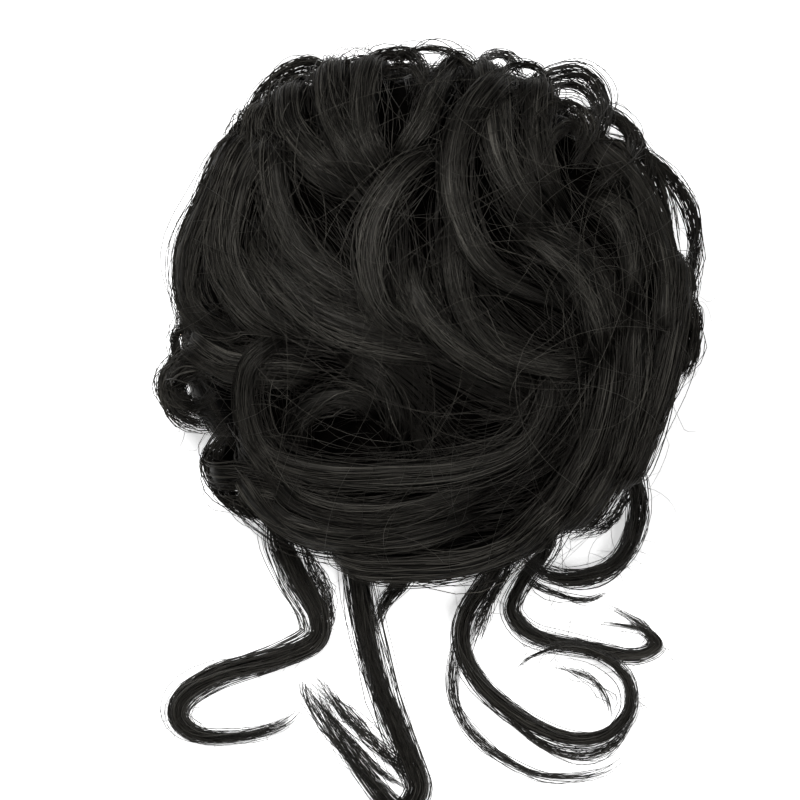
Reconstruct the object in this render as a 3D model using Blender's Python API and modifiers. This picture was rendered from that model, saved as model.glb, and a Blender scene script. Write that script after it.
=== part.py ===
"""Scrunchie bun hairpiece: long curled locks sewn round an elastic band and heaped into a messy bun.

The bun lies on its back, with the elastic band and the hollow for the wearer's own knot of hair facing down
(-Z). Its crown points along +Y, and the loose tendrils lie on the same surface, towards -Y.
Run it with blender --background --python part.py, or from the text editor.
"""

import math
from collections import namedtuple

import bmesh
import bpy
from mathutils import Vector

# Driving sizes, in metres
BUN_DIAMETER = 0.150
BUN_HEIGHT = 0.060
BUN_WIDEST_HEIGHT = 0.022
REST_FACE_DIAMETER = 0.118
BAND_DIAMETER = 0.056
BAND_THICKNESS = 0.006
BAND_HEIGHT = 0.0075
HOLLOW_DEPTH = 0.030
HOLLOW_END_DIAMETER = 0.036
ROOT_WALL = 0.0015
SEAT_GAP = 0.0003

# Sizes that follow from them
BUN_RADIUS = BUN_DIAMETER / 2
BAND_RADIUS = BAND_DIAMETER / 2
REST_FACE_RADIUS = REST_FACE_DIAMETER / 2
CORE_RADIUS_SHARE = 0.88
CORE_RISE_SHARE = 0.70
CORE_RADIUS = CORE_RADIUS_SHARE * BUN_RADIUS
CORE_TOP = BUN_WIDEST_HEIGHT + CORE_RISE_SHARE * (BUN_HEIGHT - BUN_WIDEST_HEIGHT)
ROOT_RADIUS = BAND_RADIUS + BAND_THICKNESS / 2 + SEAT_GAP + ROOT_WALL
# The seats are cut with faceted tubes, so they grow by a little more than the gap that is wanted
SEAT_GROWTH = 1.1 * SEAT_GAP

# Forms: how full the dome is, how much thinner a lock is at its ends, how deep its ends sink into the core,
# and how far out a lock's end counts as lying on the rim, where it turns down the flank
DOME_FULLNESS = 2.6
LOCK_END_SHARE = 0.62
END_SINK = 1.2
RIM_SHARE = 0.78
RIM_LEAST_HALF_WIDTH = 0.05
RIM_REACH = 0.6
RIM_END_RISE = 0.34

# Smoothness of the turned and swept shapes
CORE_SIDES = 28
DOME_ARCS = 6
FLANK_ARCS = 3
LOCK_STEPS = 6
LOCK_SEGMENT = 0.0135
LOOP_SEGMENT = 0.0085
LOCK_RESOLUTION = 1
TENDRIL_STEPS = 3
TENDRIL_RESOLUTION = 2
BAND_SEGMENTS = 36
BAND_SIDES = 8
SHARP_ANGLE = math.radians(50)
WELD_DISTANCE = 0.00001

# Locks wound round the flank, all alike: each climbs from near the surface to the widest circle
FLANK_LOCKS = 7
FLANK_HALF_WIDTH = 0.064
FLANK_TURN = 76.0
FLANK_POINTS = 5
FLANK_START_RISE = 0.34
FLANK_END_RISE = 0.95

# The locks that are heaped into the bun. Half widths and routes are shares of BUN_RADIUS, seen from above with
# the band's middle at (0, 0) and the crown at the top. Lift is a share of the height of the heap above its
# widest part. Each route runs from the lock's start to its end.
Lock = namedtuple("Lock", "name half_width lift route")

SWEEPING_LOCKS = (
    Lock("outer_left_sweep", 0.072, 0.86,
         ((-0.70, 0.63), (-0.81, 0.43), (-0.90, 0.21), (-0.87, 0.00), (-0.65, -0.13))),
    Lock("left_sweep", 0.079, 0.90,
         ((-0.64, 0.60), (-0.72, 0.42), (-0.75, 0.20), (-0.63, 0.00), (-0.37, -0.14))),
    Lock("long_sweep", 0.079, 0.92,
         ((-0.66, 0.36), (-0.60, 0.18), (-0.43, 0.01), (-0.16, -0.10), (0.13, -0.16))),
    Lock("hollow_side_sweep", 0.071, 0.89,
         ((-0.59, 0.60), (-0.57, 0.39), (-0.48, 0.20), (-0.27, 0.06), (0.00, -0.07))),
)
CROWN_LOCKS = (
    Lock("crown_corner", 0.065, 0.88, ((-0.62, 0.75), (-0.66, 0.65), (-0.63, 0.50), (-0.52, 0.38))),
    Lock("crown_left", 0.071, 0.90, ((-0.52, 0.82), (-0.52, 0.69), (-0.41, 0.54), (-0.25, 0.41))),
    Lock("crown_middle", 0.067, 0.92, ((-0.37, 0.90), (-0.38, 0.75), (-0.31, 0.59), (-0.17, 0.42))),
    Lock("crown_right", 0.064, 0.92, ((-0.22, 0.92), (-0.26, 0.77), (-0.23, 0.60), (-0.12, 0.44))),
    Lock("crown_ribbon", 0.045, 0.97, ((0.10, 0.97), (0.03, 0.84), (-0.04, 0.68), (-0.15, 0.52))),
)
CENTRE_LOCKS = (
    Lock("left_loop", 0.056, 0.98,
         ((0.05, 0.62), (-0.10, 0.52), (-0.21, 0.36), (-0.24, 0.18), (-0.18, 0.00), (-0.01, -0.13))),
    Lock("centre_fill", 0.067, 0.88,
         ((-0.09, 0.27), (-0.07, 0.09), (0.03, -0.07), (0.22, -0.19), (0.43, -0.26))),
    Lock("low_loop", 0.052, 0.95,
         ((0.07, 0.38), (0.07, 0.18), (0.12, -0.01), (0.26, -0.15), (0.46, -0.20), (0.62, -0.17))),
    Lock("right_loop", 0.056, 1.00,
         ((0.23, 0.86), (0.12, 0.72), (0.07, 0.53), (0.10, 0.33), (0.22, 0.14), (0.55, 0.00))),
)
FALLING_LOCKS = (
    Lock("inner_fall", 0.060, 0.92, ((0.19, 0.90), (0.22, 0.74), (0.25, 0.56), (0.34, 0.40), (0.48, 0.27))),
    Lock("outer_fall", 0.060, 0.90, ((0.39, 0.84), (0.38, 0.68), (0.41, 0.51), (0.50, 0.36))),
    Lock("cheek_lock", 0.079, 0.92,
         ((0.28, 0.33), (0.43, 0.24), (0.55, 0.12), (0.61, -0.05), (0.63, -0.20))),
    Lock("right_shoulder", 0.056, 0.92,
         ((0.62, 0.60), (0.74, 0.49), (0.81, 0.34), (0.86, 0.16), (0.85, -0.04))),
    Lock("inner_shoulder", 0.060, 0.85, ((0.56, 0.44), (0.68, 0.36), (0.73, 0.21), (0.72, -0.03))),
    Lock("right_fall", 0.070, 0.90,
         ((0.90, 0.18), (0.89, -0.03), (0.84, -0.25), (0.78, -0.44), (0.70, -0.60))),
    Lock("middle_fall", 0.070, 0.90,
         ((0.76, 0.09), (0.75, -0.12), (0.73, -0.33), (0.66, -0.56), (0.52, -0.76))),
    Lock("inner_right_fall", 0.064, 0.88,
         ((0.64, -0.07), (0.64, -0.25), (0.60, -0.44), (0.49, -0.65), (0.34, -0.85))),
)
LOW_LOCKS = (
    Lock("low_ribbon", 0.056, 0.96,
         ((-0.52, -0.07), (-0.66, -0.18), (-0.68, -0.35), (-0.60, -0.52), (-0.38, -0.59),
          (-0.10, -0.59), (0.16, -0.56), (0.34, -0.47), (0.42, -0.29), (0.40, -0.16))),
    Lock("low_under_ribbon", 0.064, 0.87,
         ((-0.64, -0.48), (-0.49, -0.68), (-0.22, -0.74), (0.05, -0.69), (0.33, -0.57))),
    Lock("low_band", 0.071, 0.88,
         ((-0.68, -0.61), (-0.54, -0.77), (-0.30, -0.83), (-0.03, -0.80), (0.22, -0.72))),
    Lock("low_edge", 0.068, 0.86,
         ((-0.31, -0.90), (-0.10, -0.93), (0.11, -0.92), (0.30, -0.85), (0.45, -0.72))),
    Lock("left_under", 0.070, 0.83, ((-0.86, -0.12), (-0.73, -0.19), (-0.53, -0.21), (-0.36, -0.24))),
    Lock("left_foot", 0.060, 0.83, ((-0.79, -0.58), (-0.70, -0.60), (-0.55, -0.63))),
)
COILED_LOCKS = (
    Lock("coil_right", 0.036, 0.92, ((-0.36, -0.14), (-0.20, -0.24), (-0.13, -0.38), (-0.15, -0.53))),
    Lock("coil_left", 0.045, 0.88,
         ((-0.47, -0.55), (-0.50, -0.41), (-0.40, -0.32), (-0.26, -0.32), (-0.17, -0.41))),
)
EDGE_LOOPS = (
    Lock("top_left_arch", 0.022, 0.90,
         ((-0.64, 0.69), (-0.60, 0.84), (-0.48, 0.92), (-0.36, 0.90), (-0.29, 0.79))),
    Lock("top_arch", 0.024, 0.90,
         ((-0.30, 0.84), (-0.21, 0.95), (-0.10, 0.97), (-0.04, 0.90), (-0.06, 0.76))),
    Lock("top_right_arch", 0.024, 0.95,
         ((0.31, 0.78), (0.41, 0.88), (0.54, 0.90), (0.62, 0.83), (0.63, 0.70), (0.54, 0.50))),
    Lock("right_small_arch", 0.026, 0.95,
         ((0.59, 0.72), (0.68, 0.72), (0.74, 0.64), (0.70, 0.54), (0.56, 0.44))),
    Lock("right_outer_arc", 0.026, 0.90,
         ((0.63, 0.64), (0.80, 0.59), (0.94, 0.44), (0.98, 0.28), (0.95, 0.12), (0.88, -0.01))),
    Lock("right_tip", 0.032, 0.90, ((0.90, 0.11), (0.95, -0.03), (0.95, -0.15), (0.89, -0.23))),
    Lock("left_curl", 0.040, 0.90,
         ((-0.73, -0.13), (-0.89, -0.14), (-0.96, -0.25), (-0.91, -0.36), (-0.73, -0.40))),
)

# The loose tendrils, from their roots at the band to their tips. Half width, rise and route are shares of
# BUN_RADIUS. Root turn is the root's direction from the band's middle, in degrees from +X. Rise is how far above
# the surface the lock's underside is. Tip is the tip's thickness as a share of the root's.
Tendril = namedtuple("Tendril", "name half_width tip root_turn route")
Point = namedtuple("Point", "u v rise")

LEFT_TENDRIL = Tendril("tendril_left", 0.054, 0.36, 232, (
    Point(-0.55, -0.75, 0.0), Point(-0.51, -0.96, 0.0), Point(-0.43, -1.10, 0.0), Point(-0.43, -1.22, 0.0),
    Point(-0.58, -1.29, 0.0), Point(-0.79, -1.34, 0.0), Point(-0.93, -1.42, 0.0), Point(-0.96, -1.51, 0.0),
    Point(-0.88, -1.58, 0.0), Point(-0.71, -1.58, 0.0), Point(-0.56, -1.54, 0.0), Point(-0.48, -1.47, 0.0)))
MIDDLE_TENDRIL = Tendril("tendril_middle", 0.056, 0.45, 252, (
    Point(-0.29, -0.80, 0.0), Point(-0.28, -1.01, 0.0), Point(-0.25, -1.21, 0.0), Point(-0.18, -1.44, 0.0),
    Point(-0.09, -1.65, 0.0), Point(-0.05, -1.78, 0.0), Point(-0.12, -1.86, 0.0), Point(-0.22, -1.76, 0.0),
    Point(-0.35, -1.57, 0.0), Point(-0.44, -1.37, 0.0)))
MIDDLE_BRANCH = Tendril("middle_branch", 0.028, 0.90, 268, (
    Point(-0.05, -0.80, 0.0), Point(-0.09, -0.97, 0.0), Point(-0.18, -1.08, 0.0), Point(-0.24, -1.22, 0.0)))
RIGHT_TENDRIL = Tendril("tendril_right", 0.039, 0.35, 284, (
    Point(0.28, -0.80, 0.0), Point(0.22, -0.98, 0.0), Point(0.13, -1.12, 0.0), Point(0.12, -1.25, 0.0),
    Point(0.19, -1.39, 0.0), Point(0.33, -1.51, 0.0), Point(0.50, -1.59, 0.0), Point(0.65, -1.58, 0.02),
    Point(0.74, -1.48, 0.06), Point(0.73, -1.36, 0.09), Point(0.63, -1.27, 0.10), Point(0.49, -1.24, 0.10),
    Point(0.37, -1.28, 0.06), Point(0.31, -1.34, 0.02)))
FAR_RIGHT_TENDRIL = Tendril("tendril_far_right", 0.036, 0.45, 304, (
    Point(0.44, -0.80, 0.0), Point(0.34, -1.00, 0.0), Point(0.30, -1.11, 0.0), Point(0.38, -1.20, 0.0),
    Point(0.56, -1.24, 0.0), Point(0.75, -1.28, 0.0), Point(0.85, -1.24, 0.0), Point(0.80, -1.18, 0.0),
    Point(0.69, -1.16, 0.0), Point(0.60, -1.15, 0.0)))

# The side loop leaves the bun's right flank and goes back in under its lower edge: both its ends are roots.
SIDE_LOOP_HALF_WIDTH = 0.037
SIDE_LOOP_ROUTE = (
    Point(0.56, -0.36, 0.20), Point(0.71, -0.50, 0.18), Point(0.77, -0.69, 0.10), Point(0.74, -0.86, 0.03),
    Point(0.65, -0.96, 0.00), Point(0.50, -0.99, 0.06), Point(0.36, -0.93, 0.14), Point(0.26, -0.80, 0.19))

HAIR_COLOUR = (0.012, 0.011, 0.010, 1.0)
HAIR_ROUGHNESS = 0.38
BAND_COLOUR = (0.006, 0.006, 0.006, 1.0)
BAND_ROUGHNESS = 0.75


def clear_scene():
    """Removes whatever is in the open scene."""
    for item in list(bpy.data.objects):
        bpy.data.objects.remove(item, do_unlink=True)


def make_collection(name):
    """A new collection in the scene."""
    collection = bpy.data.collections.new(name)
    bpy.context.scene.collection.children.link(collection)
    return collection


def make_material(name, colour, roughness):
    """A plain finish: Principled BSDF with the piece's colour and roughness."""
    material = bpy.data.materials.new(name)
    material.use_nodes = True
    shader = material.node_tree.nodes["Principled BSDF"]
    shader.inputs["Base Color"].default_value = colour
    shader.inputs["Roughness"].default_value = roughness
    shader.inputs["Metallic"].default_value = 0.0
    return material


def make_object(name, mesh, collection):
    """An object for a mesh, in one collection."""
    item = bpy.data.objects.new(name, mesh)
    collection.objects.link(item)
    return item


def hide_cutter(item):
    """Marks a piece that only cuts or joins others."""
    item.hide_render = True
    item.display_type = "WIRE"
    return item


def shade_round(mesh):
    """Smooth shading, with an edge kept wherever two locks meet."""
    mesh.shade_smooth()
    mesh.set_sharp_from_angle(angle=SHARP_ANGLE)


def evaluated_mesh(item):
    """The mesh of an object with its modifiers or bevel worked in."""
    graph = bpy.context.evaluated_depsgraph_get()
    return bpy.data.meshes.new_from_object(item.evaluated_get(graph), depsgraph=graph)


def smooth_route(points, steps):
    """Points on a smooth curve that passes through every given point, with steps to each stretch."""
    first = points[0] * 2 - points[1]
    last = points[-1] * 2 - points[-2]
    padded = [first, *points, last]
    route = []
    for index in range(1, len(padded) - 2):
        before, start, end, after = padded[index - 1:index + 3]
        for step in range(steps):
            t = step / steps
            route.append(0.5 * (2 * start + (end - before) * t
                                + (2 * before - 5 * start + 4 * end - after) * t ** 2
                                + (3 * start - before - 3 * end + after) * t ** 3))
    route.append(points[-1])
    return route


def even_route(route, spacing):
    """The same route with its points evenly spaced, about a spacing apart."""
    lengths = [0.0]
    for start, end in zip(route, route[1:]):
        lengths.append(lengths[-1] + (end - start).length)
    pieces = max(3, round(lengths[-1] / spacing))
    even = []
    index = 0
    for piece in range(pieces):
        wanted = lengths[-1] * piece / pieces
        while lengths[index + 1] < wanted:
            index += 1
        share = (wanted - lengths[index]) / (lengths[index + 1] - lengths[index])
        even.append(route[index].lerp(route[index + 1], share))
    even.append(route[-1])
    return even


def make_tube(name, route, radii, resolution, collection):
    """A closed round tube along a route, with its own radius at each point."""
    curve = bpy.data.curves.new(name, "CURVE")
    curve.dimensions = "3D"
    curve.bevel_depth = max(radii)
    curve.bevel_resolution = resolution
    curve.use_fill_caps = True
    spline = curve.splines.new("POLY")
    spline.points.add(len(route) - 1)
    for point, place, radius in zip(spline.points, route, radii):
        point.co = (*place, 1.0)
        point.radius = radius / max(radii)
    guide = make_object(name + "_guide", curve, collection)
    mesh = evaluated_mesh(guide)
    bpy.data.objects.remove(guide, do_unlink=True)
    weld(mesh)
    return make_object(name, mesh, collection)


def weld(mesh):
    """Joins a tube's loose caps to its wall."""
    work = bmesh.new()
    work.from_mesh(mesh)
    bmesh.ops.remove_doubles(work, verts=work.verts, dist=WELD_DISTANCE)
    work.to_mesh(mesh)
    work.free()


def dome_share(distance):
    """How high the heap is at a distance from its middle, from 1 at the middle to 0 at the widest circle."""
    return math.sqrt(max(0.0, 1.0 - min(distance, 1.0) ** DOME_FULLNESS))


def flank_radius(height):
    """The core's radius at a height below its widest circle."""
    under = 1.0 - height / BUN_WIDEST_HEIGHT
    return CORE_RADIUS - (CORE_RADIUS - REST_FACE_RADIUS) * under ** 2


def tucked_end(end, before, radius):
    """Where a thick lock goes on to from the rim, down the flank. Other ends sink in where they are."""
    if math.hypot(end.x, end.y) < RIM_SHARE * BUN_RADIUS or radius < RIM_LEAST_HALF_WIDTH * BUN_RADIUS:
        return None
    onward = end + (end - before) * RIM_REACH
    height = max(RIM_END_RISE * BUN_WIDEST_HEIGHT, radius * END_SINK)
    reach = flank_radius(height) - radius * LOCK_END_SHARE
    direction = Vector((onward.x, onward.y, 0.0)).normalized()
    return direction * reach + Vector((0.0, 0.0, height))


def lock_route(lock, segment):
    """The middle line of a lock on the heap, with both ends tucked into the core."""
    radius = lock.half_width * BUN_RADIUS
    heap = BUN_HEIGHT - BUN_WIDEST_HEIGHT - radius
    points = []
    for u, v in lock.route:
        height = BUN_WIDEST_HEIGHT + heap * lock.lift * dome_share(math.hypot(u, v))
        points.append(Vector((u * BUN_RADIUS, v * BUN_RADIUS, height)))
    start = tucked_end(points[0], points[1], radius)
    end = tucked_end(points[-1], points[-2], radius)
    if start:
        points.insert(0, start)
    else:
        points[0].z -= radius * END_SINK
    if end:
        points.append(end)
    else:
        points[-1].z -= radius * END_SINK
    return even_route(smooth_route(points, LOCK_STEPS), segment)


def flank_route(start_turn):
    """The middle line of one lock that winds up the flank."""
    radius = FLANK_HALF_WIDTH * BUN_RADIUS
    points = []
    for index in range(FLANK_POINTS):
        share = index / (FLANK_POINTS - 1)
        turn = math.radians(start_turn + FLANK_TURN * share)
        height = BUN_WIDEST_HEIGHT * (FLANK_START_RISE + (FLANK_END_RISE - FLANK_START_RISE) * share)
        reach = flank_radius(height) + radius * (math.sin(math.pi * share) - LOCK_END_SHARE)
        points.append(Vector((reach * math.cos(turn), reach * math.sin(turn), height)))
    return even_route(smooth_route(points, LOCK_STEPS), LOCK_SEGMENT)


def lock_radii(half_width, count):
    """Radii along a lock: full in the middle, thinner at its two ends."""
    radius = half_width * BUN_RADIUS
    bulge = [math.sqrt(max(0.0, math.sin(math.pi * index / (count - 1)))) for index in range(count)]
    return [radius * (LOCK_END_SHARE + (1.0 - LOCK_END_SHARE) * share) for share in bulge]


def tendril_radii(tendril, count):
    """Radii along a tendril, from its root to its thin tip."""
    radius = tendril.half_width * BUN_RADIUS
    shares = [index / (count - 1) for index in range(count)]
    return [radius * (1.0 - (1.0 - tendril.tip) * share ** 2) for share in shares]


def lying_route(points, radii, steps):
    """A smooth route above the surface: each point's rise is the space under the lock there."""
    flat = [Vector((point.u * BUN_RADIUS, point.v * BUN_RADIUS, point.rise * BUN_RADIUS)) for point in points]
    route = smooth_route(flat, steps)
    return [place + Vector((0.0, 0.0, radius - min(place.z, 0.0))) for place, radius in zip(route, radii)]


def tendril_points(tendril):
    """A tendril's route with its root beside the band put first."""
    turn = math.radians(tendril.root_turn)
    share = ROOT_RADIUS / BUN_RADIUS
    root = Point(share * math.cos(turn), share * math.sin(turn), 0.0)
    return (root, *tendril.route)


def make_tendril(tendril, collection, grow=0.0):
    """A tendril's tube. With grow, it is that much fatter all round, to cut its seat in the bun."""
    points = tendril_points(tendril)
    count = (len(points) - 1) * TENDRIL_STEPS + 1
    radii = tendril_radii(tendril, count)
    route = lying_route(points, radii, TENDRIL_STEPS)
    name = tendril.name + ("_seat" if grow else "")
    radii = [radius + grow for radius in radii]
    return make_tube(name, lengthened(route, grow), radii, TENDRIL_RESOLUTION, collection)


def make_side_loop(collection, grow=0.0):
    """The loop at the lower right, a lock of even thickness."""
    count = (len(SIDE_LOOP_ROUTE) - 1) * TENDRIL_STEPS + 1
    radii = [SIDE_LOOP_HALF_WIDTH * BUN_RADIUS] * count
    route = lying_route(SIDE_LOOP_ROUTE, radii, TENDRIL_STEPS)
    name = "side_loop_seat" if grow else "side_loop"
    radii = [radius + grow for radius in radii]
    return make_tube(name, lengthened(route, grow), radii, TENDRIL_RESOLUTION, collection)


def lengthened(route, extra):
    """The same route, longer by a little at both ends."""
    start = route[0] + (route[0] - route[1]).normalized() * extra
    end = route[-1] + (route[-1] - route[-2]).normalized() * extra
    return [start, *route[1:-1], end]


def core_profile():
    """The core's half section, from the top down its outer side, across the rest face and up the hollow."""
    profile = []
    for step in range(DOME_ARCS + 1):
        reach = math.sin(math.pi / 2 * step / DOME_ARCS)
        height = BUN_WIDEST_HEIGHT + (CORE_TOP - BUN_WIDEST_HEIGHT) * dome_share(reach)
        profile.append((reach * CORE_RADIUS, height))
    for step in range(1, FLANK_ARCS + 1):
        height = BUN_WIDEST_HEIGHT * (1.0 - step / FLANK_ARCS)
        profile.append((flank_radius(height), height))
    profile.append((BAND_RADIUS, 0.0))
    profile.append((BAND_RADIUS, BAND_HEIGHT * 2))
    profile.append((HOLLOW_END_DIAMETER / 2, HOLLOW_DEPTH))
    profile.append((0.0, HOLLOW_DEPTH))
    return profile


def make_core(collection):
    """The packed hair under the locks: a turned dome, hollow from below."""
    mesh = bpy.data.meshes.new("hair_bun")
    points = [(radius, 0.0, height) for radius, height in core_profile()]
    mesh.from_pydata(points, [(index, index + 1) for index in range(len(points) - 1)], [])
    core = make_object("hair_bun", mesh, collection)
    screw = core.modifiers.new("turn", "SCREW")
    screw.axis = "Z"
    screw.steps = CORE_SIDES
    screw.render_steps = CORE_SIDES
    screw.use_merge_vertices = True
    screw.merge_threshold = WELD_DISTANCE
    return core


def make_band(name, collection, grow=0.0):
    """The elastic band, a round ring. With grow, it is that much fatter, to cut its seat in the bun."""
    bpy.ops.mesh.primitive_torus_add(
        major_segments=BAND_SEGMENTS, minor_segments=BAND_SIDES,
        major_radius=BAND_RADIUS, minor_radius=BAND_THICKNESS / 2 + grow, location=(0.0, 0.0, BAND_HEIGHT))
    band = bpy.context.object
    band.name = name
    for owner in list(band.users_collection):
        owner.objects.unlink(band)
    collection.objects.link(band)
    return band


def add_boolean(item, operation, operands):
    """A Boolean of an object with a whole collection."""
    modifier = item.modifiers.new(operation.lower(), "BOOLEAN")
    modifier.operation = operation
    modifier.operand_type = "COLLECTION"
    modifier.collection = operands
    modifier.solver = "EXACT"
    return modifier


def work_in_modifiers(item):
    """Turns an object's modifiers into its mesh."""
    mesh = evaluated_mesh(item)
    item.modifiers.clear()
    item.data = mesh


def fill_pockets(mesh):
    """Removes the walls of air pockets closed in between locks, so that the hair is one body."""
    work = bmesh.new()
    work.from_mesh(mesh)
    shells = []
    unseen = set(work.verts)
    while unseen:
        shell = set()
        edge_of_shell = [unseen.pop()]
        while edge_of_shell:
            vertex = edge_of_shell.pop()
            shell.add(vertex)
            for edge in vertex.link_edges:
                other = edge.other_vert(vertex)
                if other in unseen:
                    unseen.remove(other)
                    edge_of_shell.append(other)
        shells.append(shell)
    outer = max(shells, key=len)
    inner = [vertex for shell in shells if shell is not outer for vertex in shell]
    bmesh.ops.delete(work, geom=inner, context="VERTS")
    work.to_mesh(mesh)
    work.free()


def make_heaped_locks(heap, segment, collection):
    """A tube for each lock of a group."""
    for lock in heap:
        route = lock_route(lock, segment)
        radii = lock_radii(lock.half_width, len(route))
        hide_cutter(make_tube(lock.name, route, radii, LOCK_RESOLUTION, collection))


def make_bun(pieces, cutters):
    """The bun: the core and its locks as one body, with seats cut for the band and for each root."""
    bun = make_core(pieces)
    locks = make_collection("bun_locks")
    for heap in (SWEEPING_LOCKS, CROWN_LOCKS, CENTRE_LOCKS, FALLING_LOCKS, LOW_LOCKS, COILED_LOCKS):
        make_heaped_locks(heap, LOCK_SEGMENT, locks)
    make_heaped_locks(EDGE_LOOPS, LOOP_SEGMENT, locks)
    for index in range(FLANK_LOCKS):
        route = flank_route(360.0 / FLANK_LOCKS * index)
        radii = lock_radii(FLANK_HALF_WIDTH, len(route))
        hide_cutter(make_tube(f"flank_lock_{index + 1}", route, radii, LOCK_RESOLUTION, locks))
    for tendril in (LEFT_TENDRIL, MIDDLE_TENDRIL, MIDDLE_BRANCH, RIGHT_TENDRIL, FAR_RIGHT_TENDRIL):
        hide_cutter(make_tendril(tendril, cutters, grow=SEAT_GROWTH))
    hide_cutter(make_side_loop(cutters, grow=SEAT_GROWTH))
    hide_cutter(make_band("band_seat", cutters, grow=SEAT_GROWTH))
    add_boolean(bun, "UNION", locks)
    add_boolean(bun, "DIFFERENCE", cutters)
    work_in_modifiers(bun)
    fill_pockets(bun.data)
    return bun


def make_middle_tendril(pieces):
    """The middle tendril with its thin branch, as one body."""
    branch = make_collection("middle_branch")
    hide_cutter(make_tendril(MIDDLE_BRANCH, branch))
    tendril = make_tendril(MIDDLE_TENDRIL, pieces)
    add_boolean(tendril, "UNION", branch)
    work_in_modifiers(tendril)
    return tendril


def stand_at_origin(pieces, holder):
    """Moves the holder so that the bottom centre of the whole hairpiece's box is at the origin."""
    corners = [item.matrix_world @ vertex.co for item in pieces for vertex in item.data.vertices]
    low = [min(corner[axis] for corner in corners) for axis in range(3)]
    high = [max(corner[axis] for corner in corners) for axis in range(3)]
    holder.location = (-(low[0] + high[0]) / 2, -(low[1] + high[1]) / 2, -low[2])


def main():
    """Builds every piece."""
    clear_scene()
    pieces = make_collection("scrunchie_bun_hairpiece")
    cutters = make_collection("cutters")
    hair = make_material("black_fibre", HAIR_COLOUR, HAIR_ROUGHNESS)
    elastic = make_material("black_elastic", BAND_COLOUR, BAND_ROUGHNESS)

    bun = make_bun(pieces, cutters)
    tendrils = [make_tendril(tendril, pieces) for tendril in (LEFT_TENDRIL, RIGHT_TENDRIL, FAR_RIGHT_TENDRIL)]
    tendrils.append(make_middle_tendril(pieces))
    tendrils.append(make_side_loop(pieces))
    band = make_band("elastic_band", pieces)

    holder = make_object("hairpiece", None, pieces)
    for item in (bun, band, *tendrils):
        item.data.materials.clear()
        item.data.materials.append(elastic if item is band else hair)
        shade_round(item.data)
        item.parent = holder
    bpy.context.view_layer.update()
    stand_at_origin((bun, band, *tendrils), holder)


main()
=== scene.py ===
"""Looks of the scrunchie bun hairpiece: locks of fine curled fibres round streaked bodies, on a pale floor.

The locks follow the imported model: a heaped bun on an elastic band, with loose tendrils lying on the floor.
All sizes are in metres. Routes are shares of the bun's radius, seen from above, and the elastic band's middle
is at (0, 0).
"""

import math
from collections import namedtuple

import bpy
import numpy as np
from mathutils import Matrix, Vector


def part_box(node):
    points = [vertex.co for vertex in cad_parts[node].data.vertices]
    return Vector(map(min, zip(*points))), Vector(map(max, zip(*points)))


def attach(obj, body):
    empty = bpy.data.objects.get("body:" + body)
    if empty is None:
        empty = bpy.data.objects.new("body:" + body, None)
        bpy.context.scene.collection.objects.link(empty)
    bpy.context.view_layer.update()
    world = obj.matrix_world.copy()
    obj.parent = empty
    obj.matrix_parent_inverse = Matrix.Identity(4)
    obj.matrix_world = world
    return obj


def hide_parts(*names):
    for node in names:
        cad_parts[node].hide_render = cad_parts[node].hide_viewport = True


bl_info = {
    "name": "Scrunchie Bun Hairpiece",
    "version": (1, 0, 0),
    "blender": (4, 5, 0),
    "location": "3D View > Sidebar > Hairpiece",
    "description": "Makes a curled synthetic bun hairpiece out of fibres, with its elastic band and a stage",
    "category": "Add Mesh",
}

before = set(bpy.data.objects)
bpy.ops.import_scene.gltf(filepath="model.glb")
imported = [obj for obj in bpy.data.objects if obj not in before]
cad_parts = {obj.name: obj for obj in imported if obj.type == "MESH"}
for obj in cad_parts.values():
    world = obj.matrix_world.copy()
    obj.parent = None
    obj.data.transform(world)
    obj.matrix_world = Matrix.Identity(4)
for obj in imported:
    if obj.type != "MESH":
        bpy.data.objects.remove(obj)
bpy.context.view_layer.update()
BAND_LOW, BAND_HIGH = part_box("elastic_band")

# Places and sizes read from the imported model
BUN_MIDDLE_X = (BAND_LOW[0] + BAND_HIGH[0]) / 2
BUN_MIDDLE_Y = (BAND_LOW[1] + BAND_HIGH[1]) / 2
BAND_THICKNESS = BAND_HIGH[2] - BAND_LOW[2]
BAND_HEIGHT = (BAND_LOW[2] + BAND_HIGH[2]) / 2
BAND_RADIUS = (BAND_HIGH[0] - BAND_LOW[0] - BAND_THICKNESS) / 2

# Sizes of the heap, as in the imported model
BUN_RADIUS = 0.075
BUN_HEIGHT = 0.060
WIDEST_HEIGHT = 0.022
REST_FACE_RADIUS = 0.059
HOLLOW_DEPTH = 0.030
HOLLOW_END_RADIUS = 0.018
CORE_RADIUS = 0.88 * BUN_RADIUS
CORE_TOP = WIDEST_HEIGHT + 0.70 * (BUN_HEIGHT - WIDEST_HEIGHT)
DOME_FULLNESS = 2.6
HEAP_CENTRE_DEPTH = 0.35
FLOOR_GAP = 0.0001
UP = np.array([0.0, 0.0, 1.0])
FULL_TURN = 2 * math.pi
LEAST_LENGTH = 1e-9

# The photograph's frame, in its own pixels: where the bun's middle lies, its radius, and how far one pixel is
PHOTO_SIDE = 800
BUN_MIDDLE_PIXEL = (432, 315)
BUN_RADIUS_PIXELS = 267.5
PIXEL = BUN_RADIUS / BUN_RADIUS_PIXELS

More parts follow.
